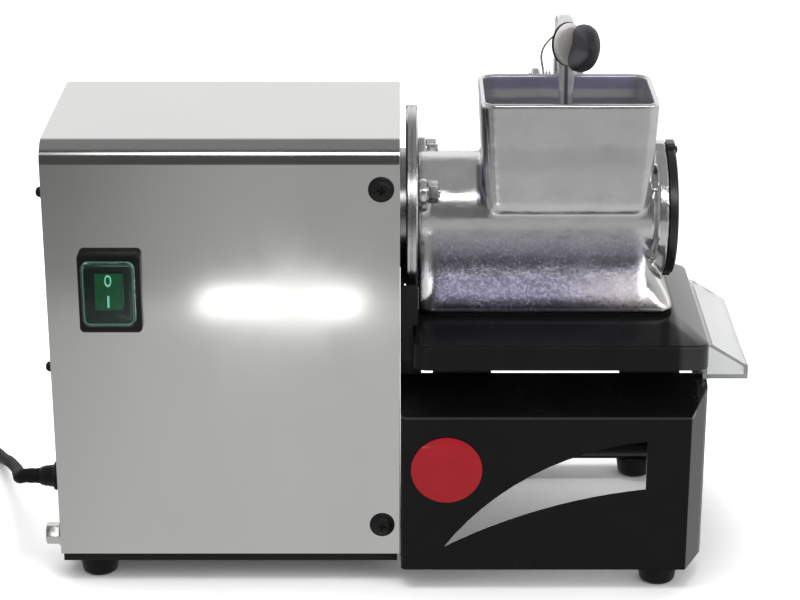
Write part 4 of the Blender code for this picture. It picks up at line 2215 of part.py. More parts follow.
def collecting_drawer():
    """A clear drawer that slides out to the right, with a wide sloped lip outside."""
    wall = DRAWER_WALL
    join_x = LIP_LEFT + wall
    bm = bmesh.new()
    tray = rectangle(DRAWER_FRONT, DRAWER_REAR, DRAWER_LOW, DRAWER_TOP)
    prism(bm, tray, "X", DRAWER_LEFT, join_x)
    origin = (DRAWER_LEFT, (DRAWER_FRONT + DRAWER_REAR) / 2, DRAWER_LOW)
    drawer = make("collecting_drawer", bm, clear_plastic(), origin)
    lip = (
        (LIP_LEFT, DRAWER_LOW),
        (LIP_RIGHT, DRAWER_LOW),
        (LIP_RIGHT, LIP_FRONT_Z),
        (LIP_CREST_X, LIP_CREST_Z),
        (LIP_LEFT, LIP_CREST_Z),
    )
    bm = bmesh.new()
    prism(bm, lip, "Y", LIP_FRONT_Y, LIP_REAR_Y)
    join(drawer, helper("drawer_lip", bm))
    bm = bmesh.new()
    floor = DRAWER_LOW + wall
    hollow = (
        (LIP_LEFT + wall, floor),
        (LIP_RIGHT - wall, floor),
        (LIP_RIGHT - wall, LIP_FRONT_Z - wall / 2),
        (LIP_CREST_X - wall / 2, LIP_CREST_Z - wall),
        (LIP_LEFT + wall, LIP_CREST_Z - wall),
    )
    prism(bm, hollow, "Y", LIP_FRONT_Y + wall, LIP_REAR_Y - wall)
    cut(drawer, helper("drawer_lip_hollow", bm))
    bm = bmesh.new()
    inner = rectangle(DRAWER_FRONT + wall, DRAWER_REAR - wall, floor, LIP_CREST_Z - wall)
    prism(bm, inner, "X", DRAWER_LEFT + wall, join_x + OVERRUN)
    cut(drawer, helper("drawer_hollow", bm))
    bm = bmesh.new()
    above = rectangle(DRAWER_FRONT + wall, DRAWER_REAR - wall, floor, LIP_CREST_Z + OVERRUN)
    prism(bm, above, "X", DRAWER_LEFT + wall, LIP_LEFT - CLEARANCE)
    cut(drawer, helper("drawer_mouth", bm))


# The mains cord


def coil_points():
    """A lead in, a spiral in, a climb where it turns back, a spiral out above it, and a tail."""
    points = [(COIL_X + COIL_RADIUS, COIL_Y - CORD_STRAIGHT, CORD_Z)]
    inner = COIL_RADIUS - COIL_STEP * COIL_TURNS
    total = COIL_TURNS + 0.5 + COIL_TURNS
    for step in range(round(total * COIL_POINTS) + 1):
        turn = step / COIL_POINTS
        past = turn - COIL_TURNS
        if past < 0:
            radius = COIL_RADIUS - COIL_STEP * turn
            height = CORD_Z
        elif past < 0.5:
            radius = inner - COIL_STEP * min(past, 0.5 - past)
            height = CORD_Z + COIL_LAYER * past / 0.5
        else:
            radius = inner + COIL_STEP * (past - 0.5)
            height = CORD_Z + COIL_LAYER
        angle = 2 * math.pi * turn
        points.append(
            (COIL_X + radius * math.cos(angle), COIL_Y + radius * math.sin(angle), height)
        )
    left = COIL_X - COIL_RADIUS
    rise = PLUG_Z - CORD_Z - COIL_LAYER
    steps = SMALL_SIDES // 3
    slope_length = COIL_TAIL - 2 * CORD_STRAIGHT
    for step in range(steps + 1):
        share = step / steps
        eased = share * share * (3 - 2 * share)
        y = COIL_Y - CORD_STRAIGHT - slope_length * share
        points.append((left, y, CORD_Z + COIL_LAYER + rise * eased))
    points.append((left, COIL_Y - COIL_TAIL, PLUG_Z))
    return points


def least_gap(points, thickness):
    """The least distance between stretches of a wire that don't follow each other, less its width."""
    places = [Vector(point) for point in points]
    least = COIL_RADIUS
    for first in range(len(places) - 1):
        for second in range(first + COIL_POINTS // 2, len(places) - 1):
            start = places[second]
            along = places[second + 1] - start
            for share in (0, 0.5):
                probe = places[first].lerp(places[first + 1], share)
                near = max(0, min(1, (probe - start).dot(along) / along.length_squared))
                least = min(least, (start + along * near - probe).length)
    return least - thickness


def mains_cord():
    gland = Vector((GLAND_MOUTH - CLEARANCE, GLAND_Y, GLAND_Z))
    straight = Vector((-CORD_STRAIGHT, 0, 0))
    coil = coil_points()
    entry = Vector(coil[0]) - Vector((0, CLEARANCE, 0))
    lead = entry - Vector((0, CORD_STRAIGHT, 0))
    path = smooth_path([gland + straight, *CORD_ROUTE, lead], CORD_SPACING)
    wire("power_cord", [gland, *path, entry], CORD_RADIUS, 2, black_rubber())
    wire("power_cord_coil", coil, CORD_RADIUS, 1, black_rubber())
    print("power_cord_coil least gap in mm", round(least_gap(coil, 2 * CORD_RADIUS) / MM, 2))
    tail = coil[-1][1] - CLEARANCE
    centre = (COIL_X - COIL_RADIUS, PLUG_Z)
    face = tail - PLUG_LENGTH
    profile = (
        (tail, 0),
        (tail, PLUG_NECK_RADIUS),
        (tail - PLUG_LENGTH * 0.3, PLUG_NECK_RADIUS),
        (tail - PLUG_LENGTH * 0.55, PLUG_RADIUS * 0.9),
        (tail - PLUG_LENGTH * 0.65, PLUG_RADIUS),
        (face, PLUG_RADIUS),
        (face, 0),
    )
    bm = bmesh.new()
    turned(bm, profile, "Y", centre, MID_SIDES)
    plug = make("plug", bm, black_rubber())
    bm = bmesh.new()
    for side in (-1, 1):
        across = centre[0] + side * PLUG_PIN_SPACING / 2
        pin = circle(across, centre[1], PLUG_PIN_RADIUS, SMALL_SIDES)
        prism(bm, pin, "Y", face - PLUG_PIN_LENGTH, face + OVERRUN)
    join(plug, helper("plug_pins", bm))


clear_scene()
machine_frame = bpy.data.objects.new("machine_frame", None)
bpy.context.scene.collection.objects.link(machine_frame)
machine_frame.location = (-MIDDLE_X, -MIDDLE_Y, 0)
drum_axis_empty = axis_empty("drum_axis", Vector((0, AXIS_Y, AXIS_Z)))
motor_axis_empty = axis_empty("motor_axis", Vector((0, AXIS_Y, MOTOR_Z)))
lever_axis_empty = axis_empty("lever_axis", Vector((LEVER_X, HINGE_Y, HINGE_Z)))

motor_cover()
base_pan()
housing_end_plate()
feet()
cover_screws()
cable_gland()
earth_bolt()
switch()
gearbox_case()
gears(drum_axis_empty, motor_axis_empty)
motor(motor_axis_empty)
motor_cradle()
run_capacitor()
drive_flange()
flange_nuts()
drive_shaft(drum_axis_empty)
grating_drum(drum_axis_empty)
grater_body()
end_cap()
presser(lever_axis_empty)
lever(lever_axis_empty)
grip(lever_axis_empty)
lever_spring()
base_frame()
badge()
table_plate()
skirt_seal()
support_bracket()
collecting_drawer()
mains_cord()
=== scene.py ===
"""An electric grater: a stainless motor box, a cast grater body with a lever, and a black base."""

import math

import bmesh
import bpy
from mathutils import Matrix, Vector


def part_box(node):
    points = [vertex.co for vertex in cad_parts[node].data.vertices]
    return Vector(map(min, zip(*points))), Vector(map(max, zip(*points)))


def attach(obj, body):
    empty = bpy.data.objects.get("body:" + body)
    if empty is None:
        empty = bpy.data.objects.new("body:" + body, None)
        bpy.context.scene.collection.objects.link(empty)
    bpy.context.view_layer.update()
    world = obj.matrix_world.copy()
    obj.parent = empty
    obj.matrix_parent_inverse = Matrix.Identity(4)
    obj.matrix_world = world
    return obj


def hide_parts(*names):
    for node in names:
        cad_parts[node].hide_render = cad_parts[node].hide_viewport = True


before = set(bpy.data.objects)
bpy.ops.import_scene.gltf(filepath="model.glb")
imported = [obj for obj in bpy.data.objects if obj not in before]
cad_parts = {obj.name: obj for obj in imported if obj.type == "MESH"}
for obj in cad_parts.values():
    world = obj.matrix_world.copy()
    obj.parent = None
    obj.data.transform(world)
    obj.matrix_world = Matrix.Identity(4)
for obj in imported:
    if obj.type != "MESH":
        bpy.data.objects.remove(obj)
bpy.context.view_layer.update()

# Camera
# The camera stands in front of the machine and a little over it. All sizes below are millimetres
# from the lower right front corner of the motor box, and TO_FRAME sets them in the frame.
cover_low, cover_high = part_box("motor_cover")
TO_FRAME = Matrix.Translation((cover_high.x, cover_low.y, 0)) @ Matrix.Scale(0.001, 4)
camera = bpy.data.objects.new("camera", bpy.data.cameras.new("camera"))
camera.data.lens = 105.3
camera.data.sensor_width = 36
camera.location = TO_FRAME @ Vector((0, -1412, 755))
camera.rotation_euler = (math.radians(68.7), 0, 0)
bpy.context.scene.collection.objects.link(camera)
bpy.context.scene.camera = camera
bpy.context.scene.view_settings.view_transform = "Standard"

# Mains cord
# A round black rubber cord leaves the gland on the box's left wall, falls to the table and lies in
# a coil behind and to the left, with a moulded two-pin plug at its end.
CORD_RADIUS = 4.2
CORD_EXIT = (-244.6, 25.0, 66.8)
LEAD = (
    (-254.6, 25.0, 66.8),
    (-259.0, 30.0, 63.5),
    (-264.0, 52.0, 55.0),
    (-268.5, 76.0, 46.5),
    (-276.0, 103.0, 37.5),
    (-284.0, 130.0, 28.0),
    (-293.5, 163.0, 14.5),
    (-304.0, 192.0, 6.0),
    (-321.0, 216.7, 4.3),
    (-321.0, 226.7, 4.3),
)
COIL_CENTRE = (-391.0, 237.0)
COIL_RADIUS = 70.0
COIL_TURNS = 2
COIL_PITCH = 9.2
STEPS_A_TURN = 24
LAID_HEIGHT = 4.3
LAYER_RISE = 9
PLUG_AXIS = (-461.0, 18.6)
FINE_STEPS = 24


class Socket:
    """A socket of a material's nodes: arithmetic on it adds Math nodes, and node adds any other."""

    def __init__(self, tree, out=None):
        self.tree = tree
        self.out = out

    def node(self, kind, settings=None, sockets=None, out=0):
        made = self.tree.nodes.new("ShaderNode" + kind)
        for name, value in (settings or {}).items():
            setattr(made, name, value)
        for name, value in (sockets or {}).items():
            if isinstance(value, Socket):
                self.tree.links.new(value.out, made.inputs[name])
            else:
                made.inputs[name].default_value = value
        return Socket(self.tree, made.outputs[out] if len(made.outputs) else None)

    def also(self, out):
        """Another output of the same node."""
        return Socket(self.tree, self.out.node.outputs[out])

    def math(self, operation, *values):
        return self.node("Math", {"operation": operation}, dict(enumerate(values)))

    def __add__(self, other):
        return self.math("ADD", self, other)

    __radd__ = __add__

    def __sub__(self, other):
        return self.math("SUBTRACT", self, other)

    def __rsub__(self, other):
        return self.math("SUBTRACT", other, self)

    def __mul__(self, other):
        return self.math("MULTIPLY", self, other)

    __rmul__ = __mul__

    def step(self, low, high):
        """A smooth change from 0 at low to 1 at high; a fall, where low is the larger."""
        return self.node(
            "MapRange",
            {"interpolation_type": "SMOOTHSTEP"},
            {"Value": self, "From Min": low, "From Max": high},
        )

    def mix(self, factor, first, second):
        """The first colour at a factor of 0 and the second at 1."""
        return self.node("Mix", {"data_type": "RGBA"}, {0: factor, 6: first, 7: second}, 2)

    def places(self, scale=(1, 1, 1)):
        """Object coordinates, stretched by a scale on each axis."""
        here = self.node("TexCoord", out=3)
        return self.node("Mapping", {}, {"Vector": here, "Scale": scale})

    def axes(self, vector=None):
        """X, Y and Z of a vector, or of the Object coordinates where none is given."""
        split = self.node("SeparateXYZ", {}, {"Vector": vector or self.places()})
        return [split.also(out) for out in range(3)]

    def noise(self, size, detail=2.0, scale=(1, 1, 1), roughness=0.5):
        """Noise from 0 to 1 whose patches are about size metres across."""
        sockets = {"Scale": 1 / size, "Detail": detail, "Roughness": roughness}
        return self.node("TexNoise", {}, {"Vector": self.places(scale), **sockets})

    def bump(self, height, depth, strength=1.0):
        return self.node("Bump", {}, {"Height": height, "Distance": depth, "Strength": strength})


def material(name, dress, **constants):
    """A surface of Principled sockets: constants set on them, and links that dress returns."""
    made = bpy.data.materials.new(name)
    made.use_nodes = True
    surface = made.node_tree.nodes["Principled BSDF"]
    for socket, value in constants.items():
        surface.inputs[socket.replace("_", " ")].default_value = value
    for socket, value in dress(Socket(made.node_tree)).items():
        made.node_tree.links.new(value.out, surface.inputs[socket])
    return made


def smooth_route(route, spacing):
    """Points at an even spacing on a smooth curve through the route's points."""
    stops = [Vector(stop) for stop in route]
    stops = [2 * stops[0] - stops[1], *stops, 2 * stops[-1] - stops[-2]]
    fine = []
    for before, start, end, after in zip(stops, stops[1:], stops[2:], stops[3:]):
        for step in range(FINE_STEPS):
            t = step / FINE_STEPS
            bend = (2 * before - 5 * start + 4 * end - after) * t**2
            swing = (3 * start - before - 3 * end + after) * t**3
            fine.append((2 * start + (end - before) * t + bend + swing) / 2)
    fine.append(stops[-2])
    reach = [0.0]
    for first, second in zip(fine, fine[1:]):
        reach.append(reach[-1] + (second - first).length)
    count = round(reach[-1] / spacing)
    points, index = [], 0
    for step in range(count + 1):
        target = reach[-1] * step / count
        while index < len(fine) - 2 and reach[index + 1] < target:
            index += 1
        share = (target - reach[index]) / (reach[index + 1] - reach[index])
        points.append(fine[index].lerp(fine[index + 1], share))
    return points


def coil_route():
    """A spiral in, a climb where it turns back, a spiral out above it, and a tail to the plug."""
    points = []
    inner = COIL_RADIUS - COIL_PITCH * COIL_TURNS
    for step in range(round((2 * COIL_TURNS + 0.5) * STEPS_A_TURN) + 1):
        turn = step / STEPS_A_TURN
        past = turn - COIL_TURNS
        radius = COIL_RADIUS - COIL_PITCH * turn
        height = LAID_HEIGHT
        if past >= 0:
            radius = inner - COIL_PITCH * min(past, 0.5 - past)
            height = LAID_HEIGHT + LAYER_RISE * min(past / 0.5, 1)
        if past >= 0.5:
            radius = inner + COIL_PITCH * (past - 0.5)
        x = COIL_CENTRE[0] + radius * math.cos(2 * math.pi * turn)
        points.append((x, COIL_CENTRE[1] + radius * math.sin(2 * math.pi * turn), height))
    plug_x, plug_height = PLUG_AXIS
    top = LAID_HEIGHT + LAYER_RISE
    for share in (0, 1 / 3, 2 / 3, 1):
        height = top + (plug_height - top) * share * share * (3 - 2 * share)
        points.append((plug_x, 227.0 - 54 * share, height))
    points.append((plug_x, 163.0, plug_height))
    return points


def rubber_dress(s):
    speckle = s.noise(0.0012, 3)
    smear = s.noise(0.03, 2)
    return {
        "Base Color": s.mix(smear, (0.006, 0.006, 0.0065, 1), (0.012, 0.012, 0.0125, 1)),
        "Roughness": 0.46 + smear * 0.16,
        "Normal": s.bump(speckle, 0.00004),
    }


rubber = material("black_rubber", rubber_dress, Specular_IOR_Level=0.12)


def strand(name, points, radius, look, sides=8, radii=None):
    """A round strand along points, as a curve with closed ends."""
    curve = bpy.data.curves.new(name, "CURVE")
    curve.dimensions = "3D"
    curve.bevel_depth = radius / 1000
    curve.bevel_resolution = sides // 2
    curve.use_fill_caps = True
    spline = curve.splines.new("POLY")
    spline.points.add(len(points) - 1)
    for index, (point, where) in enumerate(zip(spline.points, points)):
        point.co = (*(TO_FRAME @ Vector(where)), 1)
        point.radius = radii[index] if radii else 1
    spline.use_smooth = True
    curve.materials.append(look)
    obj = bpy.data.objects.new(name, curve)
    bpy.context.scene.collection.objects.link(obj)
    return obj


def spun(profile, axis, centre, steps=48):
    """A solid turned on a lathe: (place along the axis, radius) pairs round an axis at centre."""
    bm = bmesh.new()
    a, b = centre
    places = {
        "X": lambda along, out: (along, a, b + out),
        "Y": lambda along, out: (a, along, b + out),
        "Z": lambda along, out: (a + out, b, along),
    }[axis]
    middle = Vector(places(0, 0))
    verts = [bm.verts.new(places(along, out)) for along, out in profile]
    edges = [bm.edges.new(pair) for pair in zip(verts, verts[1:])]
    bmesh.ops.spin(
        bm, geom=[*verts, *edges], cent=middle, axis=Vector(places(1, 0)) - middle,
        angle=2 * math.pi, steps=steps, use_merge=True,
    )
    bmesh.ops.remove_doubles(bm, verts=bm.verts, dist=0.001)
    bmesh.ops.recalc_face_normals(bm, faces=bm.faces)
    return bm


def soften(bm, width, segments=2, angle=30, edges=None):
    """Rounds the edges that are sharper than an angle, or the ones given."""
    if edges is None:
        sharp = math.radians(angle)
        edges = [e for e in bm.edges if e.is_manifold and e.calc_face_angle(0) > sharp]
    bmesh.ops.bevel(
        bm, geom=edges, offset=width, offset_type="OFFSET", affect="EDGES", segments=segments,
        profile=0.5, material=-1, clamp_overlap=True,
    )
    return bm


def merged(*meshes):
    """One mesh of several, which are freed."""
    bm = bmesh.new()
    for other in meshes:
        mesh = bpy.data.meshes.new("part")
        other.to_mesh(mesh)
        other.free()
        bm.from_mesh(mesh)
        bpy.data.meshes.remove(mesh)
    return bm


def finished(name, bm, look, body, nodes=(), smooth=40, scaled=True):
    """Sets a mesh made in millimetres into the frame as one piece that rides on a body."""
    if scaled:
        bm.transform(TO_FRAME)
    bmesh.ops.recalc_face_normals(bm, faces=bm.faces)
    mesh = bpy.data.meshes.new(name)
    bm.to_mesh(mesh)
    bm.free()
    mesh.shade_smooth()
    mesh.set_sharp_from_angle(angle=math.radians(smooth))
    mesh.materials.append(look)
    obj = bpy.data.objects.new(name, mesh)
    bpy.context.scene.collection.objects.link(obj)
    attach(obj, body)
    if nodes:
        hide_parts(*nodes)
    return obj


def pin_dress(s):
    wear = s.noise(0.004, 3)
    return {"Roughness": 0.18 + wear * 0.2, "Normal": s.bump(wear, 0.00002)}


plug_profile = [
    (162.7, 0), (162.7, 5.4), (161, 6.3), (156, 6.5), (149, 6.5), (141, 11), (137, 16.5),
    (133, 18.4), (120, 18.5), (117.5, 17.6), (116.7, 16), (116.7, 0),
]
plug = soften(spun(plug_profile, "Y", PLUG_AXIS), 0.5)
plug = finished("plug_moulding", plug, rubber, "machine", ["plug"])
pin_steel = material("plated_pins", pin_dress, Metallic=1.0, Base_Color=(0.62, 0.6, 0.56, 1))
pin_profile = [(117, 0), (117, 2.4), (99, 2.4), (98, 1.9), (97.7, 0)]
pin_places = [(PLUG_AXIS[0] + side, PLUG_AXIS[1]) for side in (-9.5, 9.5)]
pins = merged(*[spun(pin_profile, "Y", place, 20) for place in pin_places])
plug_pins = finished("plug_pins", pins, pin_steel, "machine")
cord_points = [CORD_EXIT, *smooth_route(LEAD, 6), *smooth_route(coil_route(), 6)]
cord = strand("mains_cord", cord_points, CORD_RADIUS, rubber)
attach(cord, "machine")
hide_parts("power_cord", "power_cord_coil")
sleeve_points = smooth_route([(-243.0, 25.0, 66.8), *LEAD[:3]], 1.5)[:17]
sleeve_count = len(sleeve_points)
sleeve_radii = [
    (5.35 - 0.85 * i / sleeve_count - (0.28 if i % 4 == 3 else 0)) / 5 for i in range(sleeve_count)
]
sleeve = strand("cord_sleeve", sleeve_points, 5.0, rubber, 8, sleeve_radii)
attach(sleeve, "machine")

# Table and light
# The machine stands on a white table before a white wall, under a large soft lamp a little behind
# it and a small one from the right. What glossy faces mirror is set apart from what lights the
# matt ones: a dimmer table with the bright patch that a window lays on it, and a lamp over the box.


def rays(s):
    """Whether a ray is seen, straight or through glass, and whether a glossy face mirrors it."""
    path = s.node("LightPath")
    seen = s.math("MAXIMUM", path.also("Is Camera Ray"), path.also("Is Transmission Ray"))
    return seen, path.also("Is Glossy Ray")


floor_mesh = bmesh.new()
bmesh.ops.create_grid(floor_mesh, x_segments=1, y_segments=1, size=6)
floor_data = bpy.data.meshes.new("table_top")
floor_mesh.to_mesh(floor_data)
floor_mesh.free()
floor = bpy.data.objects.new("table_top", floor_data)
bpy.context.scene.collection.objects.link(floor)
table_look = bpy.data.materials.new("white_table")
table_look.use_nodes = True
table_look.node_tree.nodes.clear()
s = Socket(table_look.node_tree)
east, north, _ = s.axes()
across = east * 1000 - 1000 * cover_high.x
ahead = north * 1000 - 1000 * cover_low.y
near = ahead.step(-560, -500)
patch = ahead.step(-556, -546) * ahead.step(-484, -494)
patch = patch * across.step(-190, -160) * across.step(-20, -50)
glow = ahead.step(-620, -530) * ahead.step(-420, -510)
glow = glow * across.step(-250, -120) * across.step(60, -60)
left_dark = across.step(-150, -420)
gloss_level = 0.48 + near * 0.2 + glow * 0.3 + patch * 2.6 - left_dark * 0.26
seen, glossy = rays(s)
cloth = s.mix(seen, (0.78, 0.78, 0.79, 1), (1.38, 1.38, 1.39, 1))
cloth_white = s.node("BsdfDiffuse", {}, {"Color": cloth})
far = s.node("VectorMath", {"operation": "LENGTH"}, {0: s.places()}, 1).step(0.9, 1.8)
glow_white = s.node("Emission", {}, {"Color": (1, 1, 1, 1), "Strength": seen * (0.05 + far * 0.95)})
lit = s.node("AddShader", {}, {0: cloth_white, 1: glow_white})
mirrored = s.node("Emission", {}, {"Color": (1, 1, 0.985, 1), "Strength": gloss_level})
final = s.node("MixShader", {}, {0: glossy, 1: lit, 2: mirrored})
s.node("OutputMaterial", {}, {"Surface": final})
floor_data.materials.append(table_look)

world = bpy.data.worlds.new("studio")
bpy.context.scene.world = world
world.use_nodes = True
world.node_tree.nodes.clear()
s = Socket(world.node_tree)
right_way, back_way, up_way = s.axes(s.node("TexCoord", out=0))
round_way = s.math("ARCTAN2", up_way, 0 - back_way) * (180 / math.pi)
wall = round_way.step(128, 155)
lamp = round_way.step(34, 37) * round_way.step(49, 45) * right_way.step(-0.16, -0.06)
haze = round_way.step(50, 72) * 0.19
room = 0.09 + haze + wall * 0.8 + lamp * 6
room = room + s.math("ABSOLUTE", right_way).step(0.35, 0.95) * 0.45
seen, glossy = rays(s)
soft = 0.12 + s.math("MAXIMUM", up_way, 0) * 0.5 + back_way.step(0.1, 0.9) * 0.5
level = seen + (1 - seen) * (glossy * room + (1 - glossy) * soft)
background = s.node("Background", {}, {"Color": (1, 1, 1, 1), "Strength": level})
s.node("OutputWorld", {}, {"Surface": background})

for name, place, aim, size, power in (
    ("soft_lamp", (-200, 150, 1700), (0, 60, 100), 1.3, 21),
    ("fill_lamp", (900, -700, 700), (60, 60, 120), 0.8, 3),
):
    lamp_data = bpy.data.lights.new(name, "AREA")
    lamp_data.size = size
    lamp_data.energy = power
    lamp_obj = bpy.data.objects.new(name, lamp_data)
    lamp_obj.location = TO_FRAME @ Vector(place)
    to_aim = TO_FRAME @ Vector(aim) - lamp_obj.location
    lamp_obj.rotation_euler = to_aim.to_track_quat("-Z", "Y").to_euler()
    lamp_obj.visible_glossy = False
    bpy.context.scene.collection.objects.link(lamp_obj)

# Stainless motor box
# A cover folded from bright 1.2 mm stainless sheet, open below and to the right, with seven vents
# in its rear. The fold runs along the top edges.


def stainless_dress(s):
    smears = s.noise(0.05, 4, (1, 1, 0.6))
    marks = s.noise(0.004, 2, (1, 1, 1))
    waves = s.noise(0.16, 1)
    return {
        "Base Color": s.mix(smears, (0.585, 0.588, 0.58, 1), (0.64, 0.64, 0.63, 1)),
        "Roughness": 0.09 + smears.step(0.35, 0.7) * 0.05 + marks * 0.02,
        "Normal": s.bump(waves, 0.0009, 0.2),
    }


stainless = material("bright_stainless", stainless_dress, Metallic=1.0)


def cad_copy(node):
    """A copy of a CAD node's mesh, in the frame, merged and with its flat faces made whole."""
    bm = bmesh.new()
    bm.from_mesh(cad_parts[node].data)
    bmesh.ops.remove_doubles(bm, verts=bm.verts, dist=1e-6)
    bmesh.ops.dissolve_limit(
        bm, angle_limit=0.003, verts=bm.verts, edges=bm.edges, use_dissolve_boundaries=False
    )
    return bm


def folded(name, node, look, body, width=0.3, segments=2, angle=38, shaped=None):
    """A copy of a CAD node whose outer edges are eased and whose broad faces stay flat."""
    bm = cad_copy(node)
    if shaped:
        bm.transform(TO_FRAME.inverted())
        bm = shaped(bm)
        bm.transform(TO_FRAME)
    obj = finished(name, bm, look, body, [node], 34, scaled=False)
    ease = obj.modifiers.new("eased_edges", "BEVEL")
    ease.width = width / 1000
    ease.segments = segments
    ease.limit_method = "ANGLE"
    ease.angle_limit = math.radians(angle)
    ease.harden_normals = True
    flat = obj.modifiers.new("flat_faces", "WEIGHTED_NORMAL")
    flat.keep_sharp = True
    return obj


folded("box_cover", "motor_cover", stainless, "machine", 0.35, 3)

# Pan and end plate
# Black painted steel: a shallow pan under the box, a flanged plate in its open right end, a channel
# between the box and the plate that carries the grater, and four blocks under that plate.


def paint_dress(s):
    peel = s.noise(0.0016, 2)
    dust = s.noise(0.02, 5)
    return {
        "Base Color": s.mix(dust, (0.009, 0.009, 0.010, 1), (0.019, 0.019, 0.020, 1)),
        "Roughness": 0.3 + dust * 0.18,
        "Normal": s.bump(peel, 0.00005),
    }


paint = material("satin_black_paint", paint_dress, Specular_IOR_Level=0.15)
folded("box_pan", "base_pan", paint, "machine")
folded("box_end_plate", "housing_end_plate", paint, "machine")
folded("bracket_channel", "support_bracket", paint, "machine", 0.4)
for side in ("left", "right"):
    for end in ("front", "rear"):
        node = f"plate_block_{end}_{side}"
        folded(f"block_{end}_{side}", node, paint, "machine", 0.5)

# Feet
# Four moulded rubber feet, narrower at the table, each with a rounded lower edge.
foot_profile = [
    (14.2, 0), (14.2, 12.9), (13.6, 13.4), (12.2, 13.35), (3.2, 12.2), (1.8, 11.9),
    (0.9, 11.3), (0.25, 10.3), (0, 9.0), (0, 4.2), (1.2, 3.8), (1.2, 0),
]
for name, x, y in (
    ("front_left", -205.2, 17.4),
    ("rear_left", -205.2, 135.6),
    ("front_right", 174.6, 4.5),
    ("rear_right", 174.6, 172.0),
):
    foot = soften(spun(foot_profile, "Z", (x, y), 56), 0.3)
    finished(f"rubber_foot_{name}", foot, rubber, "machine", [f"foot_{name}"])

# Cover screws
# Black domed machine screws with a flange under the head and a cross recess, two in the front of
# the cover, two in its left wall and two in the grater's end cap.


def screw_head(radius, height, place, turn):
    """A domed head on a flange that points along -Y before its turn, with a cross recess."""
    profile = [
        (0, 0), (0, radius), (-height * 0.22, radius), (-height * 0.32, radius * 0.93),
        (-height * 0.36, radius * 0.76), (-height * 0.62, radius * 0.72),
        (-height * 0.86, radius * 0.56), (-height * 0.97, radius * 0.34),
        (-height, radius * 0.12), (-height, 0),
    ]
    head = soften(spun(profile, "Y", (0, 0)), radius * 0.03)
    for swing in (0.2, 0.2 + math.pi / 2):
        slot_bm = bmesh.new()
        size = Matrix.Diagonal((radius * 0.62, height * 0.9, radius * 0.15, 1))
        bmesh.ops.create_cube(slot_bm, size=1, matrix=size)
        bmesh.ops.rotate(slot_bm, verts=slot_bm.verts, matrix=Matrix.Rotation(swing, 3, "Y"))
        bmesh.ops.translate(slot_bm, verts=slot_bm.verts, vec=(0, -height, 0))
        head = carved(head, slot_bm, "DIFFERENCE")
    head.transform(Matrix.Translation(place) @ turn)
    return head


def carved(bm, other, operation):
    """The Boolean of two meshes, both of which are freed."""
    objects = []
    for source in (bm, other):
        bmesh.ops.recalc_face_normals(source, faces=source.faces)
        mesh = bpy.data.meshes.new("carving")
        source.to_mesh(mesh)
        source.free()
        obj = bpy.data.objects.new("carving", mesh)
        bpy.context.scene.collection.objects.link(obj)
        objects.append(obj)
    step = objects[0].modifiers.new("carving", "BOOLEAN")
    step.operation = operation
    step.solver = "EXACT"
    step.object = objects[1]
    bpy.context.view_layer.update()
    result = objects[0].evaluated_get(bpy.context.evaluated_depsgraph_get())
    made = bmesh.new()
    made.from_mesh(result.to_mesh())
    result.to_mesh_clear()
    for obj in objects:
        bpy.data.meshes.remove(obj.data)
    return made


NO_TURN = Matrix.Identity(4)
TO_LEFT = Matrix.Rotation(math.radians(-90), 4, "Z")
TO_RIGHT = Matrix.Rotation(math.radians(90), 4, "Z")
for name, radius, height, place, turn, nodes in (
    ("front_screw_high", 8.4, 3.6, (-12, -0.1, 279.8), NO_TURN, ["cover_screw_high"]),
    ("front_screw_low", 8.4, 3.6, (-12, -0.1, 42.3), NO_TURN, ["cover_screw_low"]),
    ("side_screw_high", 4.6, 4.7, (-229, 11, 274.6), TO_LEFT, []),
    ("side_screw_low", 4.6, 4.7, (-229, 11, 153.2), TO_LEFT, []),
    ("cap_screw_high", 3.6, 2.4, (182.4, 76.5, 282.3), TO_RIGHT, []),
    ("cap_screw_low", 3.6, 2.4, (182.4, 76.5, 200.3), TO_RIGHT, []),
):
    head = screw_head(radius, height, place, turn)
    finished(name, head, paint, "machine", nodes)

# Cable gland
# A moulded black gland: a collar against the wall and a stepped nose with a rounded mouth.


def plastic_dress(s):
    grain = s.noise(0.0007, 2)
    drift = s.noise(0.03, 3)
    return {
        "Base Color": s.mix(drift, (0.006, 0.006, 0.007, 1), (0.013, 0.013, 0.014, 1)),
        "Roughness": 0.26 + drift * 0.14,
        "Normal": s.bump(grain, 0.00003),
    }


plastic = material("black_plastic", plastic_dress, Specular_IOR_Level=0.18)
gland_profile = [
    (-229.0, 5), (-229.0, 9.3), (-229.6, 9.8), (-233.6, 9.8), (-234.3, 9.2), (-234.3, 8.2),
    (-235.2, 7.6), (-238.2, 7.3), (-238.5, 6.9), (-239.2, 6.9), (-239.5, 7.2), (-242.6, 6.4),
    (-243.8, 5.9), (-244.3, 5.2), (-244.3, 4.3), (-240, 4.3), (-229.0, 4.3), (-229.0, 5),
]
gland = spun(gland_profile, "X", CORD_EXIT[1:], 56)
finished("gland_body", gland, plastic, "machine", ["cable_gland"])

# Earth bolt
# A zinc-plated hexagon bolt with a chamfered head on a plain washer, low on the left wall.
BOLT = (15, 28.4)
M8_FLATS = 13


def zinc_dress(s):
    bloom = s.noise(0.003, 4)
    return {
        "Base Color": s.mix(bloom, (0.60, 0.60, 0.585, 1), (0.72, 0.72, 0.70, 1)),
        "Roughness": 0.2 + bloom * 0.16,
        "Normal": s.bump(bloom, 0.00003),
    }


zinc = material("zinc_plate", zinc_dress, Metallic=1.0)


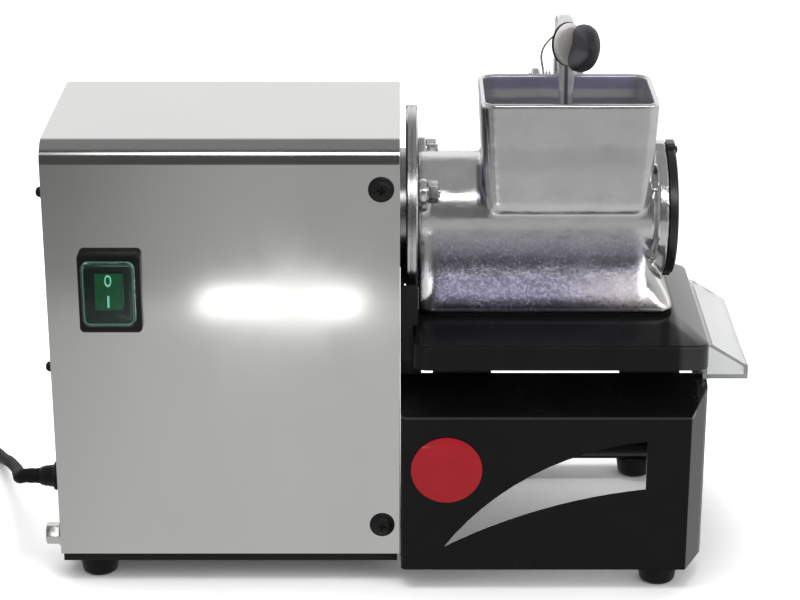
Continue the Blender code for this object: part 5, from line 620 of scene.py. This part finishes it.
def hexagon_head(flats, base, tip, centre, turn=0.0):
    """A hexagon along X whose outer corners are turned off to a cone, as on a real bolt or nut."""
    bm = bmesh.new()
    bmesh.ops.create_circle(bm, cap_ends=True, segments=6, radius=flats / math.sqrt(3))
    face = bmesh.ops.extrude_face_region(bm, geom=bm.faces[:])
    top = [v for v in face["geom"] if isinstance(v, bmesh.types.BMVert)]
    bmesh.ops.translate(bm, verts=top, vec=(0, 0, abs(tip - base)))
    bm.transform(Matrix.Rotation(turn, 4, "Z"))
    side = 1 if tip > base else -1
    to_axis = Matrix.Rotation(math.radians(90 * side), 4, "Y")
    bm.transform(Matrix.Translation((base, *centre)) @ to_axis)
    wide = flats / 2 + 2 * abs(tip - base)
    cone = [(base, 0), (base, wide), (tip, flats / 2 * 0.96), (tip, 0)]
    bm = carved(bm, spun(cone, "X", centre, 48), "INTERSECT")
    return soften(bm, flats * 0.012, 2, 25)


def tube(inner, outer, start, end, centre, steps):
    """A tube or a washer along X."""
    profile = [(start, inner), (start, outer), (end, outer), (end, inner), (start, inner)]
    return spun(profile, "X", centre, steps)


bolt = hexagon_head(M8_FLATS, -231.4, -240.2, BOLT, 0.12)
finished("bolt_head", bolt, zinc, "machine", ["earth_bolt"])
washer = soften(tube(4, 8.5, -229.1, -231.3, BOLT, 48), 0.25)
finished("bolt_washer", washer, zinc, "machine", ["earth_washer"])

# Switch
# A green rocker under a clear splash boot, in a bevelled black frame that clips into the cover.
SWITCH = Matrix.Translation((-187.6, 0, 211.8))
PIVOT = Matrix.Translation((0, 4, 0))
TILT = SWITCH @ PIVOT @ Matrix.Rotation(math.radians(-7), 4, "X") @ PIVOT.inverted()


def block(low, high, axis="Y", corner=0.0, steps=8):
    """A box between two corners whose edges along one axis are rounded."""
    bm = bmesh.new()
    low, high = Vector(low), Vector(high)
    size = Matrix.Diagonal((*(high - low), 1))
    bmesh.ops.create_cube(bm, size=1, matrix=Matrix.Translation((low + high) / 2) @ size)
    if corner:
        index = "XYZ".index(axis)
        along = [e for e in bm.edges if abs((e.verts[0].co - e.verts[1].co)[index]) > 0.001]
        soften(bm, corner, steps, edges=along)
    return bm


def eased_front(bm, front, width, segments):
    """Rounds the edges round a block's front face."""
    rim = [e for e in bm.edges if all(v.co.y < front + 0.1 for v in e.verts)]
    return soften(bm, width, segments, edges=rim)


bezel = eased_front(block((-19.8, -7.3, -27.6), (20.8, 0, 26.6), "Y", 3.2), -7.3, 1.7, 4)
bezel = carved(bezel, block((-9.9, -10, -13.6), (9.9, 5, 13.6)), "DIFFERENCE")
bezel.transform(SWITCH)
finished("switch_bezel", bezel, plastic, "machine", ["switch_frame"], 45)


def green_dress(s):
    depth = s.noise(0.006, 2)
    return {
        "Base Color": s.mix(depth, (0.004, 0.12, 0.045, 1), (0.006, 0.16, 0.062, 1)),
        "Roughness": 0.16 + depth * 0.1,
    }


# The rocker's faint green emission is a painted glow.
green = material(
    "green_rocker_painted_glow", green_dress, Emission_Color=(0.01, 0.3, 0.11, 1), Emission_Strength=0.12
)
rocker = block((-8.9, -9.0, -12.1), (8.9, 6.0, 12.1))
everything = [*rocker.verts, *rocker.edges, *rocker.faces]
bmesh.ops.bisect_plane(rocker, geom=everything, plane_co=(0, 0, 0), plane_no=(0, 0, 1))
for v in rocker.verts:
    if abs(v.co.z) < 0.1 and v.co.y < -8:
        v.co.y += 1.8
soften(rocker, 0.7, 3, 25)
rocker.transform(TILT)
finished("rocker_key", rocker, green, "rocker", ["switch_rocker"], 35)


def mint_dress(s):
    return {"Roughness": 0.35 + s.noise(0.002, 2) * 0.15}


# The rocker's pale mint print; its emission is a painted glow.
mint = material(
    "pale_mint_print_painted_glow", mint_dress, Base_Color=(0.85, 1.0, 0.94, 1),
    Emission_Color=(0.8, 1.0, 0.92, 1), Emission_Strength=0.7,
)
bar = block((-0.6, -9.15, -10.4), (0.6, -8.2, -2.6), "Y", 0.4, 3)
ring = bmesh.new()
bmesh.ops.create_circle(ring, cap_ends=True, segments=40, radius=1)
bmesh.ops.inset_region(
    ring, faces=ring.faces[:], thickness=0.3, use_boundary=True, use_even_offset=True
)
bmesh.ops.delete(ring, geom=[f for f in ring.faces if len(f.verts) > 4], context="FACES")
ring.transform(Matrix.Diagonal((2.2, 3.9, 1, 1)))
ring.transform(Matrix.Rotation(math.radians(90), 4, "X"))
risen = bmesh.ops.extrude_face_region(ring, geom=ring.faces[:])
lifted = [v for v in risen["geom"] if isinstance(v, bmesh.types.BMVert)]
bmesh.ops.translate(ring, verts=lifted, vec=(0, -0.7, 0))
bmesh.ops.translate(ring, verts=ring.verts, vec=(0, -8.45, 7.4))
marks = merged(bar, ring)
marks.transform(TILT)
finished("rocker_marks", marks, mint, "rocker", (), 30)


def boot_dress(s):
    skin = s.noise(0.008, 3)
    return {"Roughness": 0.04 + skin * 0.08, "Normal": s.bump(skin, 0.0003, 0.5)}


boot_look = material(
    "clear_green_boot", boot_dress, Base_Color=(0.30, 0.60, 0.50, 1), Transmission_Weight=1.0,
    IOR=1.42,
)
outer = block((-17.4, -12.4, -22.1), (17.4, -7.6, 21.9), "Y", 5, 10)
inner = block((-16.1, -11.3, -20.8), (16.1, -7.0, 20.6), "Y", 4, 8)
boot = carved(
    eased_front(outer, -12.4, 2.6, 6), eased_front(inner, -11.3, 1.8, 4), "DIFFERENCE"
)
boot.transform(SWITCH)
finished("switch_splash_boot", boot, boot_look, "machine", ["switch_boot"], 40)

# Motor and gears
# What the box hides: a capacitor motor with its fan, in a saddle, and one pair of spur gears in a
# cast case. These keep the CAD's shapes and get their real finishes.


def cast_dress(s):
    grain = s.noise(0.0016, 5, roughness=0.65)
    cloud = s.noise(0.03, 4)
    return {
        "Base Color": s.mix(cloud, (0.50, 0.50, 0.52, 1), (0.64, 0.64, 0.65, 1)),
        "Roughness": 0.34 + grain * 0.2,
        "Normal": s.bump(grain, 0.00018),
    }


def steel_dress(s):
    lines = s.noise(0.0005, 3, (1, 0.02, 0.02))
    cloud = s.noise(0.02, 3)
    return {
        "Base Color": s.mix(cloud, (0.42, 0.42, 0.42, 1), (0.55, 0.55, 0.54, 1)),
        "Roughness": 0.22 + lines * 0.18,
        "Normal": s.bump(lines, 0.00001),
    }


def copper_dress(s):
    turns = s.noise(0.0012, 2, (1, 1, 0.05))
    return {
        "Base Color": s.mix(turns, (0.42, 0.12, 0.03, 1), (0.72, 0.30, 0.10, 1)),
        "Roughness": 0.2 + turns * 0.2,
        "Normal": s.bump(turns, 0.0003),
    }


def nylon_dress(s):
    haze = s.noise(0.004, 3)
    return {
        "Base Color": s.mix(haze, (0.62, 0.60, 0.54, 1), (0.72, 0.70, 0.64, 1)),
        "Roughness": 0.4 + haze * 0.15,
    }


cast = material("rough_cast_aluminium", cast_dress, Metallic=1.0)
steel = material("machined_steel", steel_dress, Metallic=1.0)
copper = material("enamelled_copper", copper_dress, Metallic=0.85)
nylon = material("natural_nylon", nylon_dress, Subsurface_Weight=0.1)
for names, look in (
    (("gearbox_case", "motor_frame", "motor_end_shield", "run_capacitor"), cast),
    (("drum_hub_left", "drum_hub_right"), cast),
    (("drum_gear", "motor_pinion", "motor_stator", "motor_rotor"), steel),
    (("motor_cradle", "shaft_bearing", "drive_shaft"), steel),
    (("stator_winding_left", "stator_winding_right"), copper),
    (("drum_end_bush",), nylon),
    (("gland_nut", "switch_body", "cooling_fan"), plastic),
    (("skirt_seal",), rubber),
    (("lever_pin",), zinc),
):
    for name in names:
        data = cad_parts[name].data
        data.materials.clear()
        data.materials.append(look)

# Flange and nuts
# A turned aluminium disc between box and casting, and two zinc nuts on studs that hold the casting.
AXIS = (76.5, 241.3)
STUD_CIRCLE = 53
STUD_DEGREES = {"front": 150, "rear": 30}
THREAD_END = 25.6


def turned_dress(s):
    rings = s.noise(0.0008, 2)
    cloud = s.noise(0.015, 3)
    return {
        "Base Color": s.mix(cloud, (0.52, 0.52, 0.53, 1), (0.66, 0.66, 0.66, 1)),
        "Roughness": 0.2 + cloud * 0.14,
        "Normal": s.bump(rings, 0.00002),
    }


turned_alloy = material("turned_aluminium", turned_dress, Metallic=1.0)
flange_profile = [
    (-1.7, 15.3), (-1.7, 40), (4, 40), (4, 68), (5, 69), (6.6, 69), (7.1, 68.5), (7.6, 68.5),
    (8.1, 69), (10.6, 69), (11.6, 68), (11.6, 8), (8, 8), (8, 15.3), (-1.7, 15.3),
]
flange = spun(flange_profile, "X", AXIS, 128)
finished("flange_disc", flange, turned_alloy, "machine", ["drive_flange"], 30)


def stud_centre(degrees):
    """The place of a stud, which stands on a circle round the drum's axis."""
    angle = math.radians(degrees)
    return (AXIS[0] + STUD_CIRCLE * math.cos(angle), AXIS[1] + STUD_CIRCLE * math.sin(angle))


for name, degrees in STUD_DEGREES.items():
    centre = stud_centre(degrees)
    nut = hexagon_head(M8_FLATS, 18.4, 24.8, centre, 0.2)
    ring = tube(4, 7.4, 17.9, 18.4, centre, 40)
    thread = [(12, 0), (12, 3.5)]
    place = 12.0
    while place < THREAD_END:
        thread += [(place + 0.3, 3.8), (place + 0.6, 3.8), (place + 0.9, 3.4)]
        place += 1.0
    thread += [(26.2, 3.3), (26.4, 0)]
    stud = spun(thread, "X", centre, 28)
    nut = merged(nut, ring, stud)
    finished(f"stud_nut_{name}", nut, zinc, "machine", [f"flange_nut_{name}"], 25)

# Grater casting
# One aluminium casting, polished after casting: the barrel round the drum, the hopper over it, the
# skirt that spreads to the plate, and the lugs. Its corners keep the soft fillets of the mould.
CASTING_LEFT = 11.9
CASTING_RIGHT = 176.7
BARREL_RADIUS = 38
BORE_RADIUS = 34.6
SKIRT_TOP = 240.3
SKIRT_DROP = 54
WALL = 4
HINGE = (121.5, 318)
SKIN_VOXEL = 0.0015


def rounded_loop(bm, x0, x1, y0, y1, z, corner, steps=8):
    """A flat loop of edges in the shape of a rounded rectangle."""
    sheet = bmesh.new()
    size = Matrix.Diagonal(((x1 - x0) / 2, (y1 - y0) / 2, 1, 1))
    middle = Matrix.Translation(((x0 + x1) / 2, (y0 + y1) / 2, z))
    bmesh.ops.create_grid(sheet, x_segments=1, y_segments=1, size=1, matrix=middle @ size)
    bmesh.ops.bevel(
        sheet, geom=sheet.verts[:], offset=corner, affect="VERTICES", segments=steps, profile=0.5,
        material=-1,
    )
    mesh = bpy.data.meshes.new("loop")
    sheet.to_mesh(mesh)
    sheet.free()
    known = set(bm.edges)
    faces = set(bm.faces)
    bm.from_mesh(mesh)
    bpy.data.meshes.remove(mesh)
    bmesh.ops.delete(bm, geom=[f for f in bm.faces if f not in faces], context="FACES_ONLY")
    return [e for e in bm.edges if e not in known]


def lofted(loops):
    """A solid through rounded rectangles, each x0, x1, y0, y1, z and its corner's radius."""
    bm = bmesh.new()
    made = [rounded_loop(bm, *loop) for loop in loops]
    for low, high in zip(made, made[1:]):
        bmesh.ops.bridge_loops(bm, edges=[*low, *high])
    bmesh.ops.edgeloop_fill(bm, edges=made[0])
    bmesh.ops.edgeloop_fill(bm, edges=made[-1])
    bmesh.ops.recalc_face_normals(bm, faces=bm.faces)
    return bm


def barrel(radius, start, end, steps=96, centre=AXIS):
    return spun([(start, 0), (start, radius), (end, radius), (end, 0)], "X", centre, steps)


def spread(down):
    """How far the skirt has spread at a share of the way down: slow, then fast, then upright."""
    return 0.5 * down + 0.5 * (down * down * (3 - 2 * down)) - 0.24 * math.sin(math.pi * down) ** 2


def skirt_loop(down, inset):
    """The skirt's outline at a share of the way down, or its hollow's at an inset."""
    right = 163 + 18 * spread(down)
    front = 38.5 - 17.5 * spread(down)
    z = SKIRT_TOP - SKIRT_DROP * down
    return (12.4 + inset, right - inset, front + inset, 153 - front - inset, z, 12 - inset)


skirt_steps = [step / 14 for step in range(15)]
hopper_steps = [
    (0, 325, 0), (3.4, 258, 0), (3.6, 254, 0.3), (4.2, 250.8, 1.2), (5.6, 247.8, 3),
    (8.4, 245.4, 6), (13, 244.2, 11),
]
hopper = lofted(
    [(52 + i, 168.5 - i, 37 + f, 112.5 - f, z, max(10 - 0.2 * f, 6)) for i, z, f in hopper_steps]
)
solids = [
    hopper,
    lofted([skirt_loop(down, 0) for down in skirt_steps]),
    barrel(44, 168.7, CASTING_RIGHT),
    block((168.7, 70, 194.8), (176.7, 83, 287.8), "X", 1.5, 3),
]
for degrees in STUD_DEGREES.values():
    lug = block((CASTING_LEFT, -9, 30), (17.9, 9, STUD_CIRCLE), "X")
    lean = Matrix.Rotation(math.radians(degrees) - math.pi / 2, 3, "X")
    bmesh.ops.rotate(lug, verts=lug.verts, matrix=lean)
    bmesh.ops.translate(lug, verts=lug.verts, vec=(0, *AXIS))
    solids += [lug, barrel(9, CASTING_LEFT, 17.9, 40, stud_centre(degrees))]
for start in (89, 118.5):
    solids.append(barrel(8, start, start + 6, 40, HINGE))
    solids.append(block((start, 110.5, 304), (start + 6, 127, 322), "X", 2, 3))
throat = lofted(
    [
        (60, 160.5, 50, 103, 235, 6), (60, 160.5, 50, 103, 262, 6),
        (59, 161.5, 48, 104.5, 270, 6), (57, 163.5, 42.5, 107.5, 287, 6),
        (56, 164.5, 41, 108.5, 291, 6), (56, 164.5, 41, 108.5, 330, 6),
    ]
)
hollow = [skirt_loop(down, WALL) for down in skirt_steps]
hollow.append((*hollow[-1][:4], 184, hollow[-1][5]))
body = barrel(BARREL_RADIUS, CASTING_LEFT, CASTING_RIGHT)
for solid in solids:
    body = carved(body, solid, "UNION")
for gap in (throat, barrel(BORE_RADIUS, 16.4, 180), lofted(hollow), barrel(8, 8, 20, 32)):
    body = carved(body, gap, "DIFFERENCE")


def polished_dress(s):
    """Bright polish over a grainy casting, with soft dents, rougher on the skirt. Painted light: a
    purple painted reflection and a dark painted shade on the skirt, painted stripes of reflection
    inside and outside the hopper, painted shade in its inner corners, a painted dark reflection at
    its left corner, and a warmer tint towards the lower right."""
    sideways, depth, high = s.axes()
    grain = s.noise(0.0022, 6, roughness=0.7)
    pits = s.noise(0.0007, 3)
    cloud = s.noise(0.022, 4)
    dents = s.noise(0.012, 2)
    front = sideways.step(0.026, 0.032) * sideways.step(0.172, 0.160)
    low_zone = high.step(0.243, 0.225) * front
    # Where the dark painted shade lies on the skirt's face.
    skirt = high.step(0.216, 0.206) * high.step(0.187, 0.190) * front
    speckle = grain.step(0.42, 0.62) * (0.1 + low_zone * 0.4) + cloud * (0.9 - low_zone * 0.4)
    bright = s.mix(speckle, (0.58, 0.58, 0.59, 1), (0.78, 0.78, 0.79, 1))
    # A purple painted reflection low on the front, and a dark painted shade on the skirt's face.
    painted_violet_reflection = s.mix(speckle, (0.26, 0.255, 0.34, 1), (0.52, 0.51, 0.63, 1))
    shade = s.mix(speckle, (0.03, 0.029, 0.044, 1), (0.17, 0.163, 0.225, 1))
    inside = depth.step(0.010, 0.015) * depth.step(0.0258, 0.0238)
    inside = inside * high.step(0.258, 0.266) * high.step(0.3245, 0.323)
    inside = inside * sideways.step(0.06, 0.064) * sideways.step(0.173, 0.169)
    warm = sideways.step(0.10, 0.17) * high.step(0.225, 0.2) * 0.3
    colour = s.mix(low_zone * 0.85, bright, painted_violet_reflection)
    colour = s.mix(skirt * 0.95, colour, shade)
    # Painted reflections inside the hopper: soft purple and pale stripes by height.
    level = high + (cloud - 0.5) * 0.003
    inner = s.mix(level.step(0.3075, 0.3105), (0.27, 0.26, 0.32, 1), (0.66, 0.65, 0.63, 1))
    inner = s.mix(level.step(0.3135, 0.3165), inner, (0.36, 0.34, 0.52, 1))
    # Painted shade darkens the hopper's inner corners.
    corners = s.math("MAXIMUM", sideways.step(0.073, 0.067), sideways.step(0.160, 0.167))
    inner = s.mix(corners * 0.7, inner, (0.30, 0.29, 0.30, 1))
    colour = s.mix(inside * (0.8 + speckle * 0.2), colour, inner)
    # A soft painted stripe of dark reflection across the hopper's front.
    outside = depth.step(-0.034, -0.040) * high.step(0.262, 0.268)
    haze = high + (cloud - 0.5) * 0.016
    dark_reflection_band = haze.step(0.276, 0.286) * haze.step(0.300, 0.292) * outside
    # A painted dark reflection down the hopper's outer left corner.
    corner = sideways.step(0.0645, 0.0625) * depth.step(-0.022, -0.026) * high.step(0.252, 0.258)
    corner = corner * high.step(0.322, 0.320) * sideways.step(0.056, 0.058)
    colour = s.mix(dark_reflection_band * 0.16, colour, (0.2, 0.2, 0.2, 1))
    colour = s.mix(corner * 0.8, colour, (0.10, 0.10, 0.13, 1))
    rough = 0.15 + grain * (0.08 + low_zone * 0.1) + cloud.step(0.4, 0.7) * 0.06
    height = grain * (0.07 + low_zone * 0.55) + pits * (0.03 + low_zone * 0.25) + dents * 2.2
    return {
        "Base Color": s.mix(warm, colour, (0.62, 0.57, 0.50, 1)),
        "Metallic": 0.9 - inside * 0.5,
        "Roughness": rough,
        "Normal": s.bump(height, 0.00022, 0.8),
    }


polished = material("polished_casting", polished_dress)
casting = finished("cast_body", body, polished, "machine", ["grater_body"], 60)
voxels = casting.modifiers.new("even_skin", "REMESH")
voxels.mode = "VOXEL"
voxels.voxel_size = SKIN_VOXEL
voxels.use_smooth_shade = True
ease = casting.modifiers.new("mould_fillets", "SMOOTH")
ease.factor = 0.5
ease.iterations = 7
bpy.context.view_layer.update()
skin = casting.evaluated_get(bpy.context.evaluated_depsgraph_get())
skin_mesh = bpy.data.meshes.new_from_object(skin)
casting.modifiers.clear()
casting.data = skin_mesh

# End cap
# A moulded black cap screwed to the barrel's right end, with a lug above and below.
cap_profile = [
    (177, 0), (177, 44), (181.4, 44), (182.2, 43.6), (182.6, 42.8), (182.6, 36), (181.9, 35.4),
    (181.9, 0),
]
cap_lugs = soften(block((177, 70, 194.8), (182.6, 83, 287.8), "X", 1.6, 4), 0.5, 3, 50)
cap = carved(spun(cap_profile, "X", AXIS, 96), cap_lugs, "UNION")
cap = carved(cap, barrel(14, 167.7, 178, 48), "UNION")
cap_plastic = material("gloss_black_cap", plastic_dress, Specular_IOR_Level=0.6)
finished("end_cap_moulding", cap, cap_plastic, "machine", ["end_cap"], 40)

# Drum
# A drum of thin stainless sheet, punched from inside so that each hole stands up as a sharp crown.
DRUM_RADIUS = 31.0
CROWN_ROWS = 26
CROWN_COLUMNS = 19
CROWN_PITCH = 7.6


def drum_dress(s):
    haze = s.noise(0.01, 3)
    return {
        "Base Color": s.mix(haze, (0.52, 0.52, 0.51, 1), (0.64, 0.64, 0.63, 1)),
        "Roughness": 0.16 + haze * 0.12,
        "Normal": s.bump(s.noise(0.003, 2), 0.00006),
    }


drum_steel = material("punched_stainless", drum_dress, Metallic=1.0)
drum = tube(DRUM_RADIUS - 1, DRUM_RADIUS, 19.4, 164.7, AXIS, 96)
crowns = []
for row in range(CROWN_ROWS):
    for column in range(CROWN_COLUMNS):
        angle = 2 * math.pi * (row + 0.5 * (column % 2)) / CROWN_ROWS
        crown = bmesh.new()
        bmesh.ops.create_cone(
            crown, segments=8, radius1=2.3, radius2=1.5, depth=2.2, cap_ends=False,
            matrix=Matrix.Translation((0, 0, 31.9)),
        )
        tips = [v for v in crown.verts if v.co.z > 32]
        for index, v in enumerate(sorted(tips, key=lambda v: math.atan2(v.co.y, v.co.x))):
            v.co.z -= 0.9 * (index % 2)
        place = Matrix.Translation((23.2 + CROWN_PITCH * column, *AXIS))
        crown.transform(place @ Matrix.Rotation(angle, 4, "X"))
        crowns.append(crown)
crowns = merged(*crowns)
bmesh.ops.solidify(crowns, geom=crowns.faces[:], thickness=0.35)
finished("drum_sheet", merged(drum, crowns), drum_steel, "drum", ["grating_drum"], 35)

# Lever, presser and grip
# A bright forged hook swings on a pin behind the hopper and pushes the cast presser down. Its bean
# grip has a collar and a bright oval face, and a torsion spring lies round the pin.
KNOB_WIDTH = 20
KNOB_SHIFT = 1.9
KNOB_WAIST = 4.8
KNOB_LEAN = 2.5
WAIST_BULGE = 1.15
SPRING_X = 102.95
SPRING_PITCH = 2.1
SPRING_RADIUS = 5
SPRING_TURNS = 3
WIRE_STEPS = 32
ARM_STEPS = 24


def bright_dress(s):
    scale = s.noise(0.012, 3)
    sideways, _, high = s.axes()
    # A painted dark stripe of shade down the lever's front leg, where the real leg is grooved.
    painted_groove_shade = sideways.step(0.1145, 0.1158) * sideways.step(0.1182, 0.1168) * high.step(0.347, 0.340)
    metal = s.mix(scale, (0.80, 0.80, 0.82, 1), (0.93, 0.93, 0.94, 1))
    return {
        "Base Color": s.mix(painted_groove_shade * 0.85, metal, (0.08, 0.08, 0.10, 1)),
        "Metallic": 0.8 + scale * 0.1,
        "Roughness": 0.16 + scale * 0.1,
        "Normal": s.bump(scale, 0.0002),
    }


def satin_dress(s):
    brushed = s.noise(0.0008, 3, (1, 1, 0.08))
    return {
        "Base Color": s.mix(brushed, (0.62, 0.60, 0.57, 1), (0.76, 0.74, 0.71, 1)),
        "Roughness": 0.34 + brushed * 0.12,
    }


def grip_dress(s):
    cloud = s.noise(0.01, 3)
    return {
        "Base Color": s.mix(cloud, (0.014, 0.013, 0.017, 1), (0.024, 0.023, 0.029, 1)),
        "Roughness": 0.42 + cloud * 0.12,
        "Normal": s.bump(s.noise(0.0009, 2), 0.00004),
    }


def rounded_top(bm):
    """Rounds the shoulders of the lever's top, which is seen end on from the front."""
    arch = block((104, 88, 340), (116, 130, 364.6), "Y", 5, 6)
    shoulders = carved(block((103, 93, 358), (117, 126, 368)), arch, "DIFFERENCE")
    return carved(bm, shoulders, "DIFFERENCE")


bright = material("bright_forging", bright_dress)
satin = material("satin_face", satin_dress, Metallic=0.2)
grip_rubber = material("grip_rubber", grip_dress, Specular_IOR_Level=0.3)
folded("lever_hook", "lever", bright, "lever", 1.4, 4, 40, rounded_top)
folded("presser_block", "presser", polished, "lever", 0.9, 3, 40)
GRIP = (
    Matrix.Translation((107.5, 82, 354))
    @ Matrix.Rotation(math.radians(21), 4, "Z")
    @ Matrix.Rotation(math.radians(-7), 4, "X")
)


def oval_loft(sections, sides=48):
    """A solid along -Y through ovals: each a place, a width and a height, and for the knob a shift
    in X, a dent in the left side that swells out below, and a lean."""
    bm = bmesh.new()
    loops = []
    for along, wide, tall, *swing in sections:
        shift, dent, lean = swing or (0, 0, 0)
        lie = Matrix.Rotation(math.radians(90), 4, "X")
        size = Matrix.Diagonal((wide / 2, tall / 2, 1, 1))
        made = bmesh.ops.create_circle(
            bm, segments=sides, radius=1, matrix=Matrix.Translation((0, along, 0)) @ lie @ size
        )
        for v in made["verts"]:
            rise = v.co.z / (tall / 2)
            left = max(-v.co.x / (wide / 2), 0)
            waist = left * (1 - rise * rise - WAIST_BULGE * max(-rise, 0))
            v.co.x += shift + lean * rise + dent * waist
        loops.append([e for e in bm.edges if all(v in made["verts"] for v in e.verts)])
    for low, high in zip(loops, loops[1:]):
        bmesh.ops.bridge_loops(bm, edges=[*low, *high])
    bmesh.ops.edgeloop_fill(bm, edges=loops[0])
    bmesh.ops.edgeloop_fill(bm, edges=loops[-1])
    bm.transform(GRIP)
    return bm


collar = oval_loft(
    [(-5.4, 21, 27), (-5.8, 22.6, 28.6), (-6.6, 23, 29), (-7.2, 22.6, 28.6), (-7.4, 21.8, 27.8)]
)
finished("grip_collar_ring", collar, plastic, "lever", ["grip_collar"])
face = oval_loft(
    [
        (-7.7, 21, 27), (-8.4, 22, 28), (-9.6, 22, 28), (-10.6, 21.2, 27.2), (-11.3, 19.6, 25.4),
        (-11.7, 17, 22.5),
    ]
)
finished("grip_face_plate", face, satin, "lever", ["grip_face"])
knob_sections = []
for along, wide, tall, shift in (
    (-11.9, 9, 18, 5.2), (-12.6, 11, 21, 5.1), (-14.5, 13.2, 24.4, 4.7), (-18, 16, 27.4, 4.1),
    (-23, 18.6, 29.2, 3.3), (-29, 20, 30, 2.4), (-35, 19.4, 29, 1.5), (-41, 17, 26, 0.4),
    (-45.5, 14, 21.6, -0.5), (-49, 10, 15.4, -1.3), (-51.2, 6, 9, -1.8), (-52, 2.2, 3.2, -2),
):
    dent = KNOB_WAIST * wide / KNOB_WIDTH
    lean = KNOB_LEAN * wide / KNOB_WIDTH
    knob_sections.append((along, wide, tall, shift - KNOB_SHIFT, dent, lean))
knob = oval_loft(knob_sections)
finished("grip_knob", knob, grip_rubber, "lever", ["lever_grip"], 60)
turns = []
for step in range(SPRING_TURNS * WIRE_STEPS + 1):
    angle = math.pi - 2 * math.pi * step / WIRE_STEPS
    y = HINGE[0] + SPRING_RADIUS * math.cos(angle)
    z = HINGE[1] - SPRING_RADIUS * math.sin(angle)
    turns.append((SPRING_X - SPRING_PITCH * step / WIRE_STEPS, y, z))
last = turns[-1]
arm = []
for step in range(1, ARM_STEPS + 1):
    share = step / ARM_STEPS
    x = last[0] + (SPRING_X - last[0]) * share - 9 * math.sin(math.pi * share) * share
    arm.append((x, last[1] + 0.75 * share, last[2] + 31 * share))
wire = strand("spring_wire", [(SPRING_X, 114.3, 306), *turns, *arm], 0.75, zinc, 6)
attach(wire, "machine")
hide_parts("lever_spring")

# Base
# A base folded from 2 mm sheet and powder coated gloss black. Its front slopes back at the top and
# has a crescent cut in it, and its rear and right side are open.
CORNER_CENTRE = (191.5, 1.0)
FACET_END = 15.0
FOLD_FRONT = (-12.0, 126.4)
SLOPE = 0.3744
FOLD_RADIUS = 2.4


def gloss_dress(s):
    """A dull coat that has kept its gloss on the pressed corner and along the bend."""
    sideways, depth, high = s.axes()
    facet = sideways.step(0.1975, 0.1995) * depth.step(-0.060, -0.066)
    bend = high.step(0.1245, 0.1255) * high.step(0.1295, 0.1285) * depth.step(-0.088, -0.092)
    peel = s.noise(0.0022, 2)
    dust = s.noise(0.04, 6)
    return {
        "Base Color": s.mix(dust, (0.0065, 0.0065, 0.0075, 1), (0.012, 0.012, 0.013, 1)),
        "Roughness": 0.2 + dust * 0.12,
        "Coat Weight": s.math("MAXIMUM", facet * 0.3, bend),
        "Normal": s.bump(peel, 0.00006),
    }


gloss = material("gloss_black_coat", gloss_dress, Specular_IOR_Level=0.1)


def pressed(bm):
    """Presses the right front corner flat, as the sheet is, and rounds the bends in front."""
    x0, y0 = CORNER_CENTRE
    for v in bm.verts:
        if v.co.x > x0 + 0.1 and v.co.y < y0 + 0.1:
            out = math.hypot(v.co.x - x0, v.co.y - y0)
            share = math.atan2(v.co.x - x0, y0 - v.co.y) / (math.pi / 2)
            y = y0 - out + share * (FACET_END - y0 + out)
            if v.co.z > 100:
                v.co.z += SLOPE * (y - v.co.y)
            v.co.x = x0 + out * share
            v.co.y = y
    bmesh.ops.dissolve_limit(
        bm, angle_limit=0.003, verts=bm.verts, edges=bm.edges, use_dissolve_boundaries=False
    )
    front, fold = FOLD_FRONT
    bends = []
    for e in bm.edges:
        on_slope = all(abs(v.co.z - fold - SLOPE * (v.co.y - front)) < 0.1 for v in e.verts)
        in_front = all(v.co.y < FACET_END + 0.1 and v.co.x > 4.2 for v in e.verts)
        upright = all(abs(v.co.x - x0) < 0.1 and abs(v.co.y - front) < 0.1 for v in e.verts)
        if upright or (on_slope and in_front and e.is_manifold and e.calc_face_angle(0) > 0.3):
            bends.append(e)
    return soften(bm, FOLD_RADIUS, 5, edges=bends)


folded("base_shell", "base_frame", gloss, "machine", 0.45, 3, 38, pressed)

# Badge
# A plain domed disc of red enamel under clear resin, stuck to the base's front.
BADGE = (30.8, 88.6)


def enamel_dress(s):
    flow = s.noise(0.02, 2)
    return {
        "Base Color": s.mix(flow, (0.44, 0.006, 0.014, 1), (0.54, 0.010, 0.020, 1)),
        "Roughness": 0.2 + flow * 0.06,
    }


enamel = material(
    "red_enamel", enamel_dress, Coat_Weight=0.3, Coat_Roughness=0.03, Specular_IOR_Level=0.15
)
disc_profile = [(-12.3, 0), (-12.3, 23.4), (-12.6, 23.6), (-12.9, 23.5)]
for step in range(1, 13):
    share = step / 12
    disc_profile.append((-12.95 - 1.55 * (1 - (1 - share) ** 2.4), 23.35 * (1 - share)))
disc = spun(disc_profile, "Y", BADGE, 96)
finished("badge_dome", disc, enamel, "machine", ["badge_disc"], 50)

# Plate
# A moulded glossy black plate between base and casting, with a chamfered edge and a sloping top.


def moulded_dress(s):
    drift = s.noise(0.05, 3)
    return {
        "Base Color": s.mix(drift, (0.0055, 0.0055, 0.006, 1), (0.010, 0.010, 0.011, 1)),
        "Roughness": 0.13 + drift * 0.1,
        "Coat Weight": s.axes()[0].step(0.186, 0.191),
        "Normal": s.bump(s.noise(0.012, 2), 0.00008),
    }


moulded = material("moulded_black_plate", moulded_dress, Specular_IOR_Level=0.14)
folded("plate_moulding", "table_plate", moulded, "machine", 0.7, 3, 25)

# Drawer
# A clear acrylic drawer under the plate, with a wide sloping lip at the right that it is pulled by.


def acrylic_dress(s):
    scuff = s.noise(0.02, 5)
    return {
        "Roughness": 0.03 + scuff.step(0.45, 0.75) * 0.12,
        "Normal": s.bump(s.noise(0.03, 2), 0.0002),
    }


acrylic = material(
    "clear_acrylic", acrylic_dress, Base_Color=(0.975, 0.985, 0.98, 1), Transmission_Weight=0.86,
    IOR=1.3,
)
folded("drawer_tray", "collecting_drawer", acrylic, "drawer", 0.4, 2)
